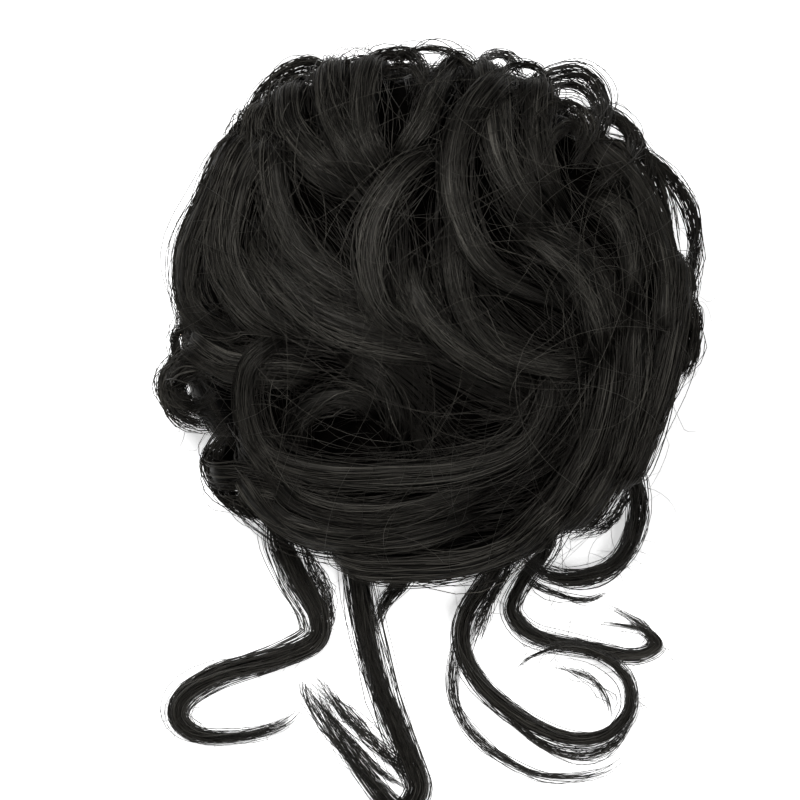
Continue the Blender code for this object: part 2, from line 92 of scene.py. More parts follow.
# A lock of the heap, seen from above. Its half width and its route are shares of the bun's radius, and its
# lift is how high it lies, as a share of the dome's height there.
Lock = namedtuple("Lock", "name half_width lift route")
SWEEPING_LOCKS = (
    Lock("outer_left_sweep", 0.072, 0.86,
         ((-0.70, 0.63), (-0.81, 0.43), (-0.90, 0.21), (-0.87, 0.00), (-0.65, -0.13))),
    Lock("left_sweep", 0.079, 0.90,
         ((-0.64, 0.60), (-0.72, 0.42), (-0.75, 0.20), (-0.63, 0.00), (-0.37, -0.14))),
    Lock("long_sweep", 0.079, 0.92,
         ((-0.66, 0.36), (-0.60, 0.18), (-0.43, 0.01), (-0.16, -0.10), (0.13, -0.16))),
    Lock("hollow_side_sweep", 0.071, 0.89,
         ((-0.59, 0.60), (-0.57, 0.39), (-0.48, 0.20), (-0.27, 0.06), (0.00, -0.07))),
)
CROWN_LOCKS = (
    Lock("crown_corner", 0.065, 0.88, ((-0.62, 0.75), (-0.66, 0.65), (-0.63, 0.50), (-0.52, 0.38))),
    Lock("crown_left", 0.071, 0.90, ((-0.52, 0.82), (-0.52, 0.69), (-0.41, 0.54), (-0.25, 0.41))),
    Lock("crown_middle", 0.067, 0.92, ((-0.37, 0.90), (-0.38, 0.75), (-0.31, 0.59), (-0.17, 0.42))),
    Lock("crown_right", 0.064, 0.92, ((-0.22, 0.92), (-0.26, 0.77), (-0.23, 0.60), (-0.12, 0.44))),
    Lock("crown_ribbon", 0.045, 0.97, ((0.10, 0.97), (0.03, 0.84), (-0.04, 0.68), (-0.15, 0.52))),
)
CENTRE_LOCKS = (
    Lock("left_loop", 0.056, 0.98,
         ((0.05, 0.62), (-0.10, 0.52), (-0.21, 0.36), (-0.24, 0.18), (-0.18, 0.00), (-0.01, -0.13))),
    Lock("centre_fill", 0.067, 0.88,
         ((-0.09, 0.27), (-0.07, 0.09), (0.03, -0.07), (0.22, -0.19), (0.43, -0.26))),
    Lock("low_loop", 0.052, 0.95,
         ((0.07, 0.38), (0.07, 0.18), (0.12, -0.01), (0.26, -0.15), (0.46, -0.20), (0.62, -0.17))),
    Lock("right_loop", 0.056, 1.00,
         ((0.23, 0.86), (0.12, 0.72), (0.07, 0.53), (0.10, 0.33), (0.22, 0.14), (0.55, 0.00))),
)
FALLING_LOCKS = (
    Lock("inner_fall", 0.060, 0.92, ((0.19, 0.90), (0.22, 0.74), (0.25, 0.56), (0.34, 0.40), (0.48, 0.27))),
    Lock("outer_fall", 0.060, 0.90, ((0.39, 0.84), (0.38, 0.68), (0.41, 0.51), (0.50, 0.36))),
    Lock("cheek_lock", 0.079, 0.92,
         ((0.28, 0.33), (0.43, 0.24), (0.55, 0.12), (0.61, -0.05), (0.63, -0.20))),
    Lock("right_shoulder", 0.056, 0.92,
         ((0.62, 0.60), (0.74, 0.49), (0.81, 0.34), (0.86, 0.16), (0.85, -0.04))),
    Lock("inner_shoulder", 0.060, 0.85, ((0.56, 0.44), (0.68, 0.36), (0.73, 0.21), (0.72, -0.03))),
    Lock("right_fall", 0.070, 0.90,
         ((0.90, 0.18), (0.89, -0.03), (0.84, -0.25), (0.78, -0.44), (0.70, -0.60))),
    Lock("middle_fall", 0.070, 0.90,
         ((0.76, 0.09), (0.75, -0.12), (0.73, -0.33), (0.66, -0.56), (0.52, -0.76))),
    Lock("inner_right_fall", 0.064, 0.88,
         ((0.64, -0.07), (0.64, -0.25), (0.60, -0.44), (0.49, -0.65), (0.34, -0.85))),
)
LOW_LOCKS = (
    Lock("low_ribbon", 0.056, 0.96,
         ((-0.52, -0.07), (-0.66, -0.18), (-0.68, -0.35), (-0.60, -0.52), (-0.38, -0.59),
          (-0.10, -0.59), (0.16, -0.56), (0.34, -0.47), (0.42, -0.29), (0.40, -0.16))),
    Lock("low_under_ribbon", 0.064, 0.87,
         ((-0.64, -0.48), (-0.49, -0.68), (-0.22, -0.74), (0.05, -0.69), (0.33, -0.57))),
    Lock("low_band", 0.071, 0.88,
         ((-0.68, -0.61), (-0.54, -0.77), (-0.30, -0.83), (-0.03, -0.80), (0.22, -0.72))),
    Lock("low_edge", 0.068, 0.86,
         ((-0.31, -0.90), (-0.10, -0.93), (0.11, -0.92), (0.30, -0.85), (0.45, -0.72))),
    Lock("left_under", 0.070, 0.83, ((-0.86, -0.12), (-0.73, -0.19), (-0.53, -0.21), (-0.36, -0.24))),
    Lock("left_foot", 0.060, 0.83, ((-0.79, -0.58), (-0.70, -0.60), (-0.55, -0.63))),
)
COILED_LOCKS = (
    Lock("coil_right", 0.036, 0.92, ((-0.36, -0.14), (-0.20, -0.24), (-0.13, -0.38), (-0.15, -0.53))),
    Lock("coil_left", 0.045, 0.88,
         ((-0.47, -0.55), (-0.50, -0.41), (-0.40, -0.32), (-0.26, -0.32), (-0.17, -0.41))),
)
EDGE_LOOPS = (
    Lock("top_left_arch", 0.022, 0.90,
         ((-0.64, 0.69), (-0.60, 0.84), (-0.48, 0.92), (-0.36, 0.90), (-0.29, 0.79))),
    Lock("top_arch", 0.024, 0.90,
         ((-0.30, 0.84), (-0.21, 0.95), (-0.10, 0.97), (-0.04, 0.90), (-0.06, 0.76))),
    Lock("top_right_arch", 0.024, 0.95,
         ((0.31, 0.78), (0.41, 0.88), (0.54, 0.90), (0.62, 0.83), (0.63, 0.70), (0.54, 0.50))),
    Lock("right_small_arch", 0.026, 0.95,
         ((0.59, 0.72), (0.68, 0.72), (0.74, 0.64), (0.70, 0.54), (0.56, 0.44))),
    Lock("right_outer_arc", 0.026, 0.90,
         ((0.63, 0.64), (0.80, 0.59), (0.94, 0.44), (0.98, 0.28), (0.95, 0.12), (0.88, -0.01))),
    Lock("right_tip", 0.032, 0.90, ((0.90, 0.11), (0.95, -0.03), (0.95, -0.15), (0.89, -0.23))),
    Lock("left_curl", 0.040, 0.90,
         ((-0.73, -0.13), (-0.89, -0.14), (-0.96, -0.25), (-0.91, -0.36), (-0.73, -0.40))),
)

# A lock that leaves the heap: its half width, the share of it that is left at the tip, the angle in degrees
# at which its root lies beside the band (None where it has no root there), and its route. The half width and
# the route's places and heights are shares of the bun's radius.
Tendril = namedtuple("Tendril", "name half_width tip root_turn route")
LEFT_TENDRIL = Tendril("tendril_left", 0.054, 0.36, 232, (
    (-0.55, -0.75, 0.0), (-0.51, -0.96, 0.0), (-0.43, -1.10, 0.0), (-0.43, -1.22, 0.0),
    (-0.58, -1.29, 0.0), (-0.79, -1.34, 0.0), (-0.93, -1.42, 0.0), (-0.96, -1.51, 0.0),
    (-0.88, -1.58, 0.0), (-0.71, -1.58, 0.0), (-0.56, -1.54, 0.0), (-0.48, -1.47, 0.0)))
MIDDLE_TENDRIL = Tendril("tendril_middle", 0.056, 0.45, 252, (
    (-0.29, -0.80, 0.0), (-0.28, -1.01, 0.0), (-0.25, -1.21, 0.0), (-0.18, -1.44, 0.0),
    (-0.09, -1.65, 0.0), (-0.05, -1.78, 0.0), (-0.12, -1.86, 0.0), (-0.22, -1.76, 0.0),
    (-0.35, -1.57, 0.0), (-0.44, -1.37, 0.0)))
MIDDLE_BRANCH = Tendril("middle_branch", 0.028, 0.90, 268, (
    (-0.05, -0.80, 0.0), (-0.09, -0.97, 0.0), (-0.18, -1.08, 0.0), (-0.24, -1.22, 0.0)))
RIGHT_TENDRIL = Tendril("tendril_right", 0.039, 0.35, 284, (
    (0.28, -0.80, 0.0), (0.22, -0.98, 0.0), (0.13, -1.12, 0.0), (0.12, -1.25, 0.0),
    (0.19, -1.39, 0.0), (0.33, -1.51, 0.0), (0.50, -1.59, 0.0), (0.65, -1.58, 0.02),
    (0.74, -1.48, 0.06), (0.73, -1.36, 0.09), (0.63, -1.27, 0.10), (0.49, -1.24, 0.10),
    (0.37, -1.28, 0.06), (0.31, -1.34, 0.02)))
FAR_RIGHT_TENDRIL = Tendril("tendril_far_right", 0.036, 0.45, 304, (
    (0.44, -0.80, 0.0), (0.34, -1.00, 0.0), (0.30, -1.11, 0.0), (0.38, -1.20, 0.0),
    (0.56, -1.24, 0.0), (0.75, -1.28, 0.0), (0.85, -1.24, 0.0), (0.80, -1.18, 0.0),
    (0.69, -1.16, 0.0), (0.60, -1.15, 0.0)))
SIDE_LOOP = Tendril("side_loop", 0.037, 0.90, None, (
    (0.56, -0.36, 0.20), (0.71, -0.50, 0.18), (0.77, -0.69, 0.10), (0.74, -0.86, 0.03),
    (0.65, -0.96, 0.00), (0.50, -0.99, 0.06), (0.36, -0.93, 0.14), (0.26, -0.80, 0.19)))
TENDRILS = (LEFT_TENDRIL, MIDDLE_TENDRIL, RIGHT_TENDRIL, FAR_RIGHT_TENDRIL)

# How far from the band's middle the tendrils' roots lie
ROOT_RADIUS = 0.0328

# The groups of heaped locks, and how bright each one is: the coil is dimmed as painted shade, lying deep in the
# heap
LockGroup = namedtuple("LockGroup", "name locks shade")
LOCK_GROUPS = (
    LockGroup("sweeping_locks", SWEEPING_LOCKS, 0.95),
    LockGroup("crown_locks", CROWN_LOCKS, 0.95),
    LockGroup("centre_locks", CENTRE_LOCKS, 1.00),
    LockGroup("falling_locks", FALLING_LOCKS, 0.90),
    LockGroup("low_locks", LOW_LOCKS, 1.05),
    # Painted shade: the coil's fibres and bodies are dimmed to half
    LockGroup("coiled_locks", COILED_LOCKS, 0.50),
)

# Thin curls that only stand out as fibres, laid like the locks
WISPS = (
    Lock("top_left_inner", 0.016, 0.92,
         ((-0.62, 0.72), (-0.56, 0.84), (-0.47, 0.88), (-0.36, 0.84), (-0.33, 0.72))),
    Lock("top_left_outer", 0.012, 0.88,
         ((-0.68, 0.64), (-0.67, 0.78), (-0.58, 0.89), (-0.45, 0.94), (-0.36, 0.90))),
    Lock("top_middle", 0.014, 0.90,
         ((-0.18, 0.86), (-0.10, 0.96), (0.02, 0.98), (0.12, 0.92), (0.14, 0.80))),
    Lock("top_middle_small", 0.014, 0.92, ((-0.26, 0.82), (-0.18, 0.90), (-0.08, 0.90), (-0.02, 0.80))),
    Lock("top_right_inner", 0.018, 0.98,
         ((0.30, 0.74), (0.40, 0.83), (0.52, 0.85), (0.60, 0.78), (0.58, 0.66), (0.50, 0.52))),
    Lock("top_right_middle", 0.022, 0.98,
         ((0.34, 0.66), (0.43, 0.76), (0.53, 0.76), (0.57, 0.66), (0.50, 0.54))),
    Lock("top_right_small", 0.018, 0.98, ((0.40, 0.58), (0.47, 0.68), (0.53, 0.68), (0.54, 0.58))),
    Lock("right_inner_arc", 0.018, 0.94,
         ((0.60, 0.66), (0.74, 0.62), (0.84, 0.50), (0.88, 0.34), (0.90, 0.18))),
    Lock("right_cross", 0.016, 0.96, ((0.52, 0.62), (0.66, 0.60), (0.74, 0.48), (0.80, 0.30), (0.84, 0.10))),
    Lock("left_shoulder", 0.014, 0.92,
         ((-0.64, 0.74), (-0.76, 0.66), (-0.83, 0.54), (-0.87, 0.38), (-0.90, 0.22))),
    Lock("left_curl_outer", 0.016, 0.80,
         ((-0.84, -0.12), (-0.97, -0.18), (-1.00, -0.28), (-0.93, -0.38), (-0.80, -0.42))),
    Lock("left_curl_inner", 0.040, 0.85,
         ((-0.80, -0.18), (-0.89, -0.18), (-0.94, -0.26), (-0.90, -0.34), (-0.80, -0.36))),
    Lock("left_curl_cross", 0.016, 0.80, ((-0.78, -0.28), (-0.90, -0.34), (-0.98, -0.26), (-0.94, -0.12))),
    Lock("left_notch", 0.020, 0.85, ((-0.88, -0.02), (-0.95, -0.08), (-0.93, -0.20), (-0.84, -0.28))),
    Lock("low_left_fan", 0.024, 0.70, ((-0.74, -0.42), (-0.83, -0.52), (-0.78, -0.66), (-0.63, -0.76))),
    Lock("top_ribbon_side", 0.016, 0.95,
         ((0.00, 0.74), (0.03, 0.88), (0.10, 0.95), (0.17, 0.88), (0.15, 0.72))),
    Lock("top_right_first", 0.016, 0.92, ((0.14, 0.80), (0.19, 0.94), (0.28, 0.96), (0.35, 0.84))),
    Lock("top_right_second", 0.014, 0.95, ((0.20, 0.82), (0.30, 0.92), (0.40, 0.90), (0.46, 0.78))),
    Lock("top_left_third", 0.014, 0.92, ((-0.44, 0.78), (-0.36, 0.90), (-0.24, 0.94), (-0.14, 0.86))),
    Lock("left_crown_edge", 0.016, 0.92, ((-0.70, 0.58), (-0.74, 0.67), (-0.66, 0.74), (-0.56, 0.74))),
    Lock("right_high_edge", 0.020, 0.94,
         ((0.52, 0.74), (0.66, 0.74), (0.76, 0.64), (0.80, 0.50), (0.78, 0.36))),
    Lock("right_low_edge", 0.016, 0.92, ((0.92, 0.10), (0.99, 0.00), (0.98, -0.14), (0.94, -0.26))),
    Lock("low_left_outer", 0.020, 0.75, ((-0.80, -0.50), (-0.81, -0.61), (-0.73, -0.72), (-0.58, -0.77))),
    Lock("low_left_inner", 0.020, 0.75, ((-0.78, -0.46), (-0.80, -0.58), (-0.72, -0.70), (-0.56, -0.76))),
)

# Thin wisps that lie on the floor beside the tendrils
FLOOR_WISPS = (
    Tendril("right_outer_wisp", 0.016, 0.60, None, (
        (0.16, -1.04, 0.0), (0.09, -1.25, 0.0), (0.08, -1.44, 0.0), (0.17, -1.60, 0.0),
        (0.36, -1.71, 0.0), (0.52, -1.73, 0.0), (0.66, -1.70, 0.0), (0.76, -1.60, 0.0))),
    Tendril("right_inner_wisp", 0.008, 0.60, None, (
        (0.45, -1.31, 0.02), (0.59, -1.36, 0.02), (0.66, -1.44, 0.0), (0.68, -1.53, 0.0))),
    Tendril("middle_inner_wisp", 0.024, 0.60, None, (
        (0.00, -1.77, 0.0), (-0.10, -1.70, 0.0), (-0.22, -1.60, 0.0), (-0.34, -1.48, 0.0),
        (-0.44, -1.35, 0.0))),
    Tendril("middle_split_wisp", 0.014, 0.60, None, (
        (-0.08, -1.79, 0.0), (-0.20, -1.70, 0.0), (-0.32, -1.59, 0.0), (-0.42, -1.47, 0.0),
        (-0.48, -1.36, 0.0))),
    Tendril("middle_outer_wisp", 0.013, 0.70, None, (
        (-0.15, -1.81, 0.0), (-0.27, -1.71, 0.0), (-0.39, -1.58, 0.0), (-0.47, -1.44, 0.0),
        (-0.49, -1.36, 0.0))),
    Tendril("left_root_wisp", 0.024, 0.60, None, (
        (-0.50, -0.80, 0.06), (-0.46, -0.92, 0.02), (-0.41, -1.03, 0.0), (-0.39, -1.13, 0.0),
        (-0.42, -1.21, 0.0))),
    Tendril("right_root_wisp", 0.022, 0.60, None, (
        (0.36, -0.84, 0.08), (0.31, -0.94, 0.02), (0.24, -1.04, 0.0), (0.17, -1.16, 0.0),
        (0.14, -1.30, 0.0))),
    Tendril("right_low_wisp", 0.018, 0.60, None, (
        (0.20, -1.38, 0.0), (0.28, -1.50, 0.0), (0.40, -1.61, 0.0), (0.55, -1.66, 0.0),
        (0.68, -1.61, 0.0), (0.75, -1.48, 0.0), (0.74, -1.36, 0.0))),
    Tendril("side_root_wisp", 0.022, 0.70, None, (
        (0.77, -0.56, 0.12), (0.73, -0.69, 0.08), (0.64, -0.79, 0.05), (0.50, -0.86, 0.05))),
    Tendril("far_right_tip_wisp", 0.016, 0.50, None, (
        (0.70, -1.26, 0.0), (0.81, -1.25, 0.0), (0.81, -1.18, 0.0), (0.72, -1.12, 0.0),
        (0.62, -1.09, 0.0))),
    Tendril("side_loop_wisp", 0.012, 0.60, None, (
        (0.30, -0.93, 0.0), (0.42, -1.03, 0.0), (0.57, -1.07, 0.0), (0.69, -1.02, 0.0))),
    Tendril("left_inner_wisp", 0.014, 0.60, None, (
        (-0.52, -1.27, 0.0), (-0.76, -1.33, 0.0), (-0.92, -1.43, 0.0), (-0.91, -1.54, 0.0),
        (-0.76, -1.59, 0.0), (-0.58, -1.54, 0.0), (-0.46, -1.46, 0.0))),
)

# How a bundle of fibres is laid: how many for each millimetre of half width, how deep the bundle is for its
# width, which part of its section holds fibres (in degrees round it, 90 being outward), how many clumps they
# gather in, how far they wander as a share of the half width, which share of them stray, how far they stray
# in metres, and by which share of the length their ends fall short
Bundle = namedtuple("Bundle", "density depth from_turn to_turn clumps wander strays stray_reach ends")
HEAP_BUNDLE = Bundle(19.2, 0.68, -10.0, 190.0, 22, 0.24, 0.22, 0.0016, 0.14)
UNDER_BUNDLE = Bundle(4.6, 0.42, 0.0, 180.0, 30, 0.30, 0.3, 0.0020, 0.15)
ARCH_BUNDLE = Bundle(30.0, 1.00, 0.0, 360.0, 7, 0.55, 0.4, 0.0014, 0.12)
TENDRIL_BUNDLE = Bundle(36.0, 0.80, 0.0, 360.0, 10, 0.42, 0.35, 0.0012, 0.26)
SPLIT_BUNDLE = Bundle(15.0, 0.60, 0.0, 360.0, 7, 0.75, 0.30, 0.0014, 0.30)
WISP_BUNDLE = Bundle(28.0, 0.60, 0.0, 360.0, 6, 1.00, 0.40, 0.0016, 0.30)

# The flank locks have this share of a heaped lock's fibres
FLANK_FULLNESS = 0.38

# How fibres lie in a bundle: how much they crowd outward, how far each is pulled to its clump's middle, how
# fast they wander along a lock, how much of that each does by itself, and how far they stray or are trimmed
SECTION_CROWDING = 0.4
CLUMP_PULL = (0.3, 0.85)
WANDER_PACE = (0.5, 1.6)
WANDER_ORDERS = (1, 2)
OWN_WANDER = 0.6
MOST_STRAY = 2.0
START_TRIM = 0.4
LEAST_FIBRES = 6
MILLIMETRES = 1000

# How light a fibre is: the share of its tone that its clump sets, and what is left of the tone low in the
# bundle and at the lock's two ends, where the darkening is painted shade
CLUMP_TONE = 0.6
# Painted shade: the tone low in the bundle and at the lock's ends is cut to these shares
LOW_TONE = 0.25
LOW_SHADE_BAND = (-0.2, 0.8)
END_PAINTED_SHADE = 0.35
END_PAINTED_SHADE_SHARE = 0.16

# A drawn fibre: a tube with this many sides, thinner over a share of its length at each end
FIBRE_SIDES = 3
FIBRE_TAPER = 0.16
TAPER_ROUNDING = 0.6
TIP_THICKNESS = 0.25
THICKNESS_RANGE = (0.7, 1.25)

# The body inside a lock: its sides, its width as a share of the lock's, its depth as a share of that width,
# its ridges and dents, and its tone, which falls off at its ends and down its sides as painted shade
BODY_SIDES = 12
BODY_WIDTH = 0.86
BODY_DEPTH = 0.62
BODY_RIDGES = 5
BODY_RIDGE = 0.07
BODY_RIDGE_PACE = 7.0
BODY_RIDGE_START = 6.0
BODY_DENTS = 0.05
BODY_END_PAINTED_SHADE = 0.25
BODY_END_SHADE_SHARE = 0.2
BODY_SIDE_SHADE_BAND = (-0.4, 0.7)

# How wide a heaped lock's fibres and its body are at its ends, and how much wider they are in the middle
FIBRE_SWELL = (0.62, 0.48)
BODY_SWELL = (0.12, 0.98)
BODY_SWELL_ROUNDING = 0.6

# How wide the fibres spread in the heap, in the layer under it and in the edge loops, and how far the layer
# under it is sunk, as shares of a lock's half width
HEAP_SPREAD = 1.10
UNDER_SPREAD = 1.9
UNDER_DROP = 0.45
EDGE_SPREAD = 1.15

# How a route is drawn: the steps to each stretch between two of its places, and the fewest points it may have
ROUTE_STEPS = 24
LEAST_STEPS = 6

# Where a lock ends. A thick one that reaches the rim goes on down the flank, and any other is sunk. The reach
# and the half width are shares of the bun's radius, ONWARD is one of the lock's last stretch, FLANK_FOOT one
# of the widest circle's height, and the last two are shares of the lock's own half width.
RIM_REACH = 0.78
THICK_HALF_WIDTH = 0.05
ONWARD = 0.6
FLANK_FOOT = 0.34
END_DROP = 1.2
FLANK_SINK = 0.62

# Locks that wind up the flank: how many, their half width as a share of the bun's radius, how many degrees
# they turn by, and where they start and end as shares of the widest circle's height
Climb = namedtuple("Climb", "name count half_width turn start_rise end_rise")
CLIMBS = (
    Climb("flank", 11, 0.075, 70.0, 0.30, 0.98),
    Climb("foot", 9, 0.060, 60.0, 0.24, 0.55),
)
CLIMB_POINTS = 6
CLIMB_SHIFT = 8.0

# A tendril: the share of its length that has a body (the rest of it is fibres only), the body's section, how
# the body thins out, and how wide the two bundles of fibres spread
TENDRIL_BODY_SHARE = 0.36
TENDRIL_BODY_WIDTH = 0.36
TENDRIL_BODY_DEPTH = 0.8
TENDRIL_BODY_SIDES = 8
TENDRIL_BODY_TIP = 0.12
TENDRIL_BODY_THINS = 0.1
TENDRIL_SPREAD = 0.88
SPLIT_SPREAD = 1.0

# The undercoat on the imported hair's dome, between the locks: short fibres in equal steps, each of which heads
# partly as the step before it and partly as the locks near it do; their low tone is painted shade in the gaps
UNDERCOAT_FIBRES = 1500
UNDERCOAT_STEPS = 9
UNDERCOAT_STEP = 0.0060
UNDERCOAT_LIFT = 0.0030
UNDERCOAT_SHADE_TONE = 0.16
UNDERCOAT_REACH = 0.97
UNDERCOAT_GAP = 0.0004
FLOW_STRIDE = 6
FLOW_REACH = 0.005
FLOW_KEPT = 0.4

# Fibres wound round the hollow, over the rest face and up the hollow's wall: how many, how far round each one
# goes, how far it wanders and lies off the surface, and how light it is
BACK_FIBRES = 470
HOLLOW_FIBRES = 120
BACK_STEPS = 14
BACK_TURN = (0.5, 1.5)
BACK_WANDER = 0.0018
BACK_LIFT = 0.0005
BACK_TONES = (0.15, 1.0)
HOLLOW_TONES = (0.1, 0.7)
HOLLOW_FOOT = 2 * BAND_HEIGHT
HOLLOW_RISE = 0.95

# Loose hairs that cross the locks and the tendrils at any angle, each an arc of its own, and how thick they
# and the wisps on the floor are next to other fibres
LOOSE_HAIRS = 230
LOOSE_HAIR_STEPS = 12
LOOSE_HAIR_LENGTH = (0.025, 0.085)
LOOSE_HAIR_TURN = (0.4, 2.6)
LOOSE_HAIR_LIFT = 0.0035
LOOSE_HAIR_THICKNESS = 0.48
LOOSE_HAIR_REACH = 0.98
LOOSE_HAIR_CROWDING = 0.4
LOOSE_HAIR_OVERHANG = 0.20
LOOSE_HAIR_CURL = 0.5
LOOSE_HAIR_TONES = (0.3, 1.0)
TENDRIL_HAIRS = 26
TENDRIL_HAIR_LENGTH = (0.008, 0.030)
TENDRIL_HAIR_REACH = 0.003
TENDRIL_HAIR_LIFT = (0.2, 1.9)
TENDRIL_HAIR_TONES = (0.4, 1.0)
TENDRIL_HAIRLESS_PART = 5
WISP_THICKNESS = 0.8

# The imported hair: a turned shape whose surface waves a little, with a rounded mouth to its hollow
PACKED_SIDES = 96
PACKED_SHRINK = 0.985
PACKED_WAVE = 0.006
PACKED_WAVES = 9
PACKED_WAVE_PACE = 260.0
PACKED_DOME_POINTS = 16
PACKED_FLANK_POINTS = 8
PACKED_FOOT = 0.03
MOUTH_WIDENING = 0.001
MOUTH_HEIGHTS = (0.0006, 0.0015)

# The elastic band's ribs, the steps to each one and round its section, and how deep they are
BAND_RIBS = 60
RIB_STEPS = 6
BAND_SIDES = 20
RIB_DEPTH = 0.05

# What each operator adds to the seed for its own random draws
SEEDS = {"heaped_locks": 0, "edge_loops": 20, "flank_locks": 30, "tendrils": 50, "loose_hairs": 70,
         "undercoat": 80, "back_hair": 80}
PIECES_TO_A_SEED = 1000

# How finely a finish's noise is drawn across the grain and along it, and how much detail it has
Grain = namedtuple("Grain", "across along detail")
FIBRE_GRAIN = Grain(900.0, 4.0, 1.0)
BODY_GRAIN = Grain(60.0, 2.5, 3.0)
PACKED_GRAIN = Grain(90.0, 3.0, 4.0)
ELASTIC_GRAIN = Grain(6.0, 170.0, 3.0)

# Finishes: what the noise is spread to, where the dark colour ends and the light one starts, roughness, gloss
# and bumps
FIBRE_DRIFT = (0.0, 1.8)
FIBRE_RAMP = (0.12, 1.0)
FIBRE_ROUGHNESS = (0.52, 0.34)
FIBRE_GLOSS = 0.24
BODY_STREAKS = (-2.6, 2.7)
BODY_RAMP = (0.10, 1.0)
BODY_ROUGHNESS = 0.45
BODY_GLOSS = 0.12
BODY_BUMP = 0.7
# The packed hair's ramp runs from black to the darkest fibre: painted shade
PACKED_SHADE_RAMP = (0.35, 0.8)
PACKED_ROUGHNESS = 0.9
PACKED_GLOSS = 0.01
ELASTIC_SHADES = (0.4, 1.8)
ELASTIC_ROUGHNESS = 0.85
ELASTIC_BUMP = 0.5
BUMP_HEIGHT = 0.0003
BLACK = (0.0, 0.0, 0.0)
WHITE = (1.0, 1.0, 1.0)

# The stage: a glowing floor, two soft lights, a sky that looks brighter than it shines, and a long lens above
FLOOR_SIDE = 12.0
FLOOR_ROUGHNESS = 0.9
FLOOR_GLOW = 0.62
Softbox = namedtuple("Softbox", "name place size watts")
SOFTBOXES = (
    Softbox("key_softbox", (-0.30, 0.45, 1.25), 0.45, 22.0),
    Softbox("fill_softbox", (0.70, -0.30, 1.1), 0.40, 9.0),
)
SOFTBOX_AIM = (BUN_MIDDLE_X, BUN_MIDDLE_Y, 0.02)
SKY_LIGHT = 0.04
SKY_SEEN = 0.97
LENS = 300.0
SENSOR = 36.0
FARTHEST_SEEN = 30.0


class HairpieceSizes(bpy.types.PropertyGroup):
    """Sizes that a user would change."""

    fibre_thickness: bpy.props.FloatProperty(
        name="Fibre Thickness", description="Diameter of one drawn fibre", default=0.00024, min=0.0001,
        unit="LENGTH")
    fibre_spacing: bpy.props.FloatProperty(
        name="Fibre Point Spacing", description="Longest distance between two points of a fibre",
        default=0.011, min=0.001, unit="LENGTH")
    fibre_turn: bpy.props.FloatProperty(
        name="Fibre Turn", description="Most that a fibre turns between two points",
        default=math.radians(21), min=0.01, subtype="ANGLE")
    fullness: bpy.props.FloatProperty(
        name="Fullness", description="Share of the usual number of fibres", default=1.0, min=0.05, max=1.5,
        subtype="FACTOR")
    seed: bpy.props.IntProperty(name="Seed", description="Start of the random laying of fibres", default=7)


class HairpieceColours(bpy.types.PropertyGroup):
    """Colours that a user would change."""

    dark_fibre: bpy.props.FloatVectorProperty(
        name="Dark Fibre", description="Colour of the darkest fibres", subtype="COLOR", size=3,
        default=(0.0013, 0.0010, 0.0008), min=0.0, max=1.0)
    light_fibre: bpy.props.FloatVectorProperty(
        name="Light Fibre", description="Colour of the lightest fibres", subtype="COLOR", size=3,
        default=(0.049, 0.0463, 0.0400), min=0.0, max=1.0)
    sheen: bpy.props.FloatVectorProperty(
        name="Sheen", description="Tint of the fibres' gloss", subtype="COLOR", size=3,
        default=(1.0, 0.95, 0.86), min=0.0, max=1.0)
    elastic: bpy.props.FloatVectorProperty(
        name="Elastic", description="Colour of the elastic band's yarn", subtype="COLOR", size=3,
        default=(0.010, 0.010, 0.010), min=0.0, max=1.0)
    floor: bpy.props.FloatVectorProperty(
        name="Floor", description="Colour of the studio floor", subtype="COLOR", size=3,
        default=(0.92, 0.92, 0.92), min=0.0, max=1.0)


def smooth_route(points):
    """Points on a smooth curve that passes through every given one."""
    points = np.asarray(points, dtype=float)
    padded = np.vstack([2 * points[0] - points[1], points, 2 * points[-1] - points[-2]])
    t = (np.arange(ROUTE_STEPS) / ROUTE_STEPS)[:, None]
    route = []
    for before, start, end, after in zip(padded, padded[1:], padded[2:], padded[3:]):
        slope = end - before
        bend = 2 * before - 5 * start + 4 * end - after
        twist = 3 * start - before - 3 * end + after
        route.append(0.5 * (2 * start + slope * t + bend * t ** 2 + twist * t ** 3))
    return np.vstack([*route, points[-1:]])


def smooth_step(value, low, high):
    """0 below low, 1 above high, and smooth between."""
    share = np.clip((value - low) / (high - low), 0.0, 1.0)
    return share * share * (3.0 - 2.0 * share)


def at_least(low, share):
    """The share, squeezed so that it runs from low to 1 and not from 0 to 1."""
    return low + (1.0 - low) * share


def unit(vectors):
    """The vectors at length one."""
    return vectors / np.maximum(np.linalg.norm(vectors, axis=-1, keepdims=True), LEAST_LENGTH)


def sample_route(route, sizes):
    """The route at points that lie closer together where it turns, and each one's share of the length."""
    steps = np.diff(route, axis=0)
    lengths = np.linalg.norm(steps, axis=1)
    headings = unit(steps)
    turns = np.arccos(np.clip((headings[1:] * headings[:-1]).sum(axis=1), -1.0, 1.0))
    cost = lengths / sizes.fibre_spacing
    cost[1:] += turns / sizes.fibre_turn
    travelled = np.concatenate([[0.0], np.cumsum(lengths)])
    spent = np.concatenate([[0.0], np.cumsum(cost)])
    count = max(LEAST_STEPS, math.ceil(spent[-1]))
    places = np.interp(np.linspace(0.0, spent[-1], count + 1), spent, travelled)
    sampled = np.stack([np.interp(places, travelled, route[:, axis]) for axis in range(3)], axis=1)
    return sampled, places / travelled[-1]


def dome_share(distance):
    """How high the heap is at a distance from its middle, from 1 at the middle to 0 at the widest circle."""
    return np.sqrt(np.maximum(0.0, 1.0 - np.minimum(distance, 1.0) ** DOME_FULLNESS))


def flank_radius(height):
    """The heap's radius at a height below its widest circle."""
    return CORE_RADIUS - (CORE_RADIUS - REST_FACE_RADIUS) * (1.0 - height / WIDEST_HEIGHT) ** 2


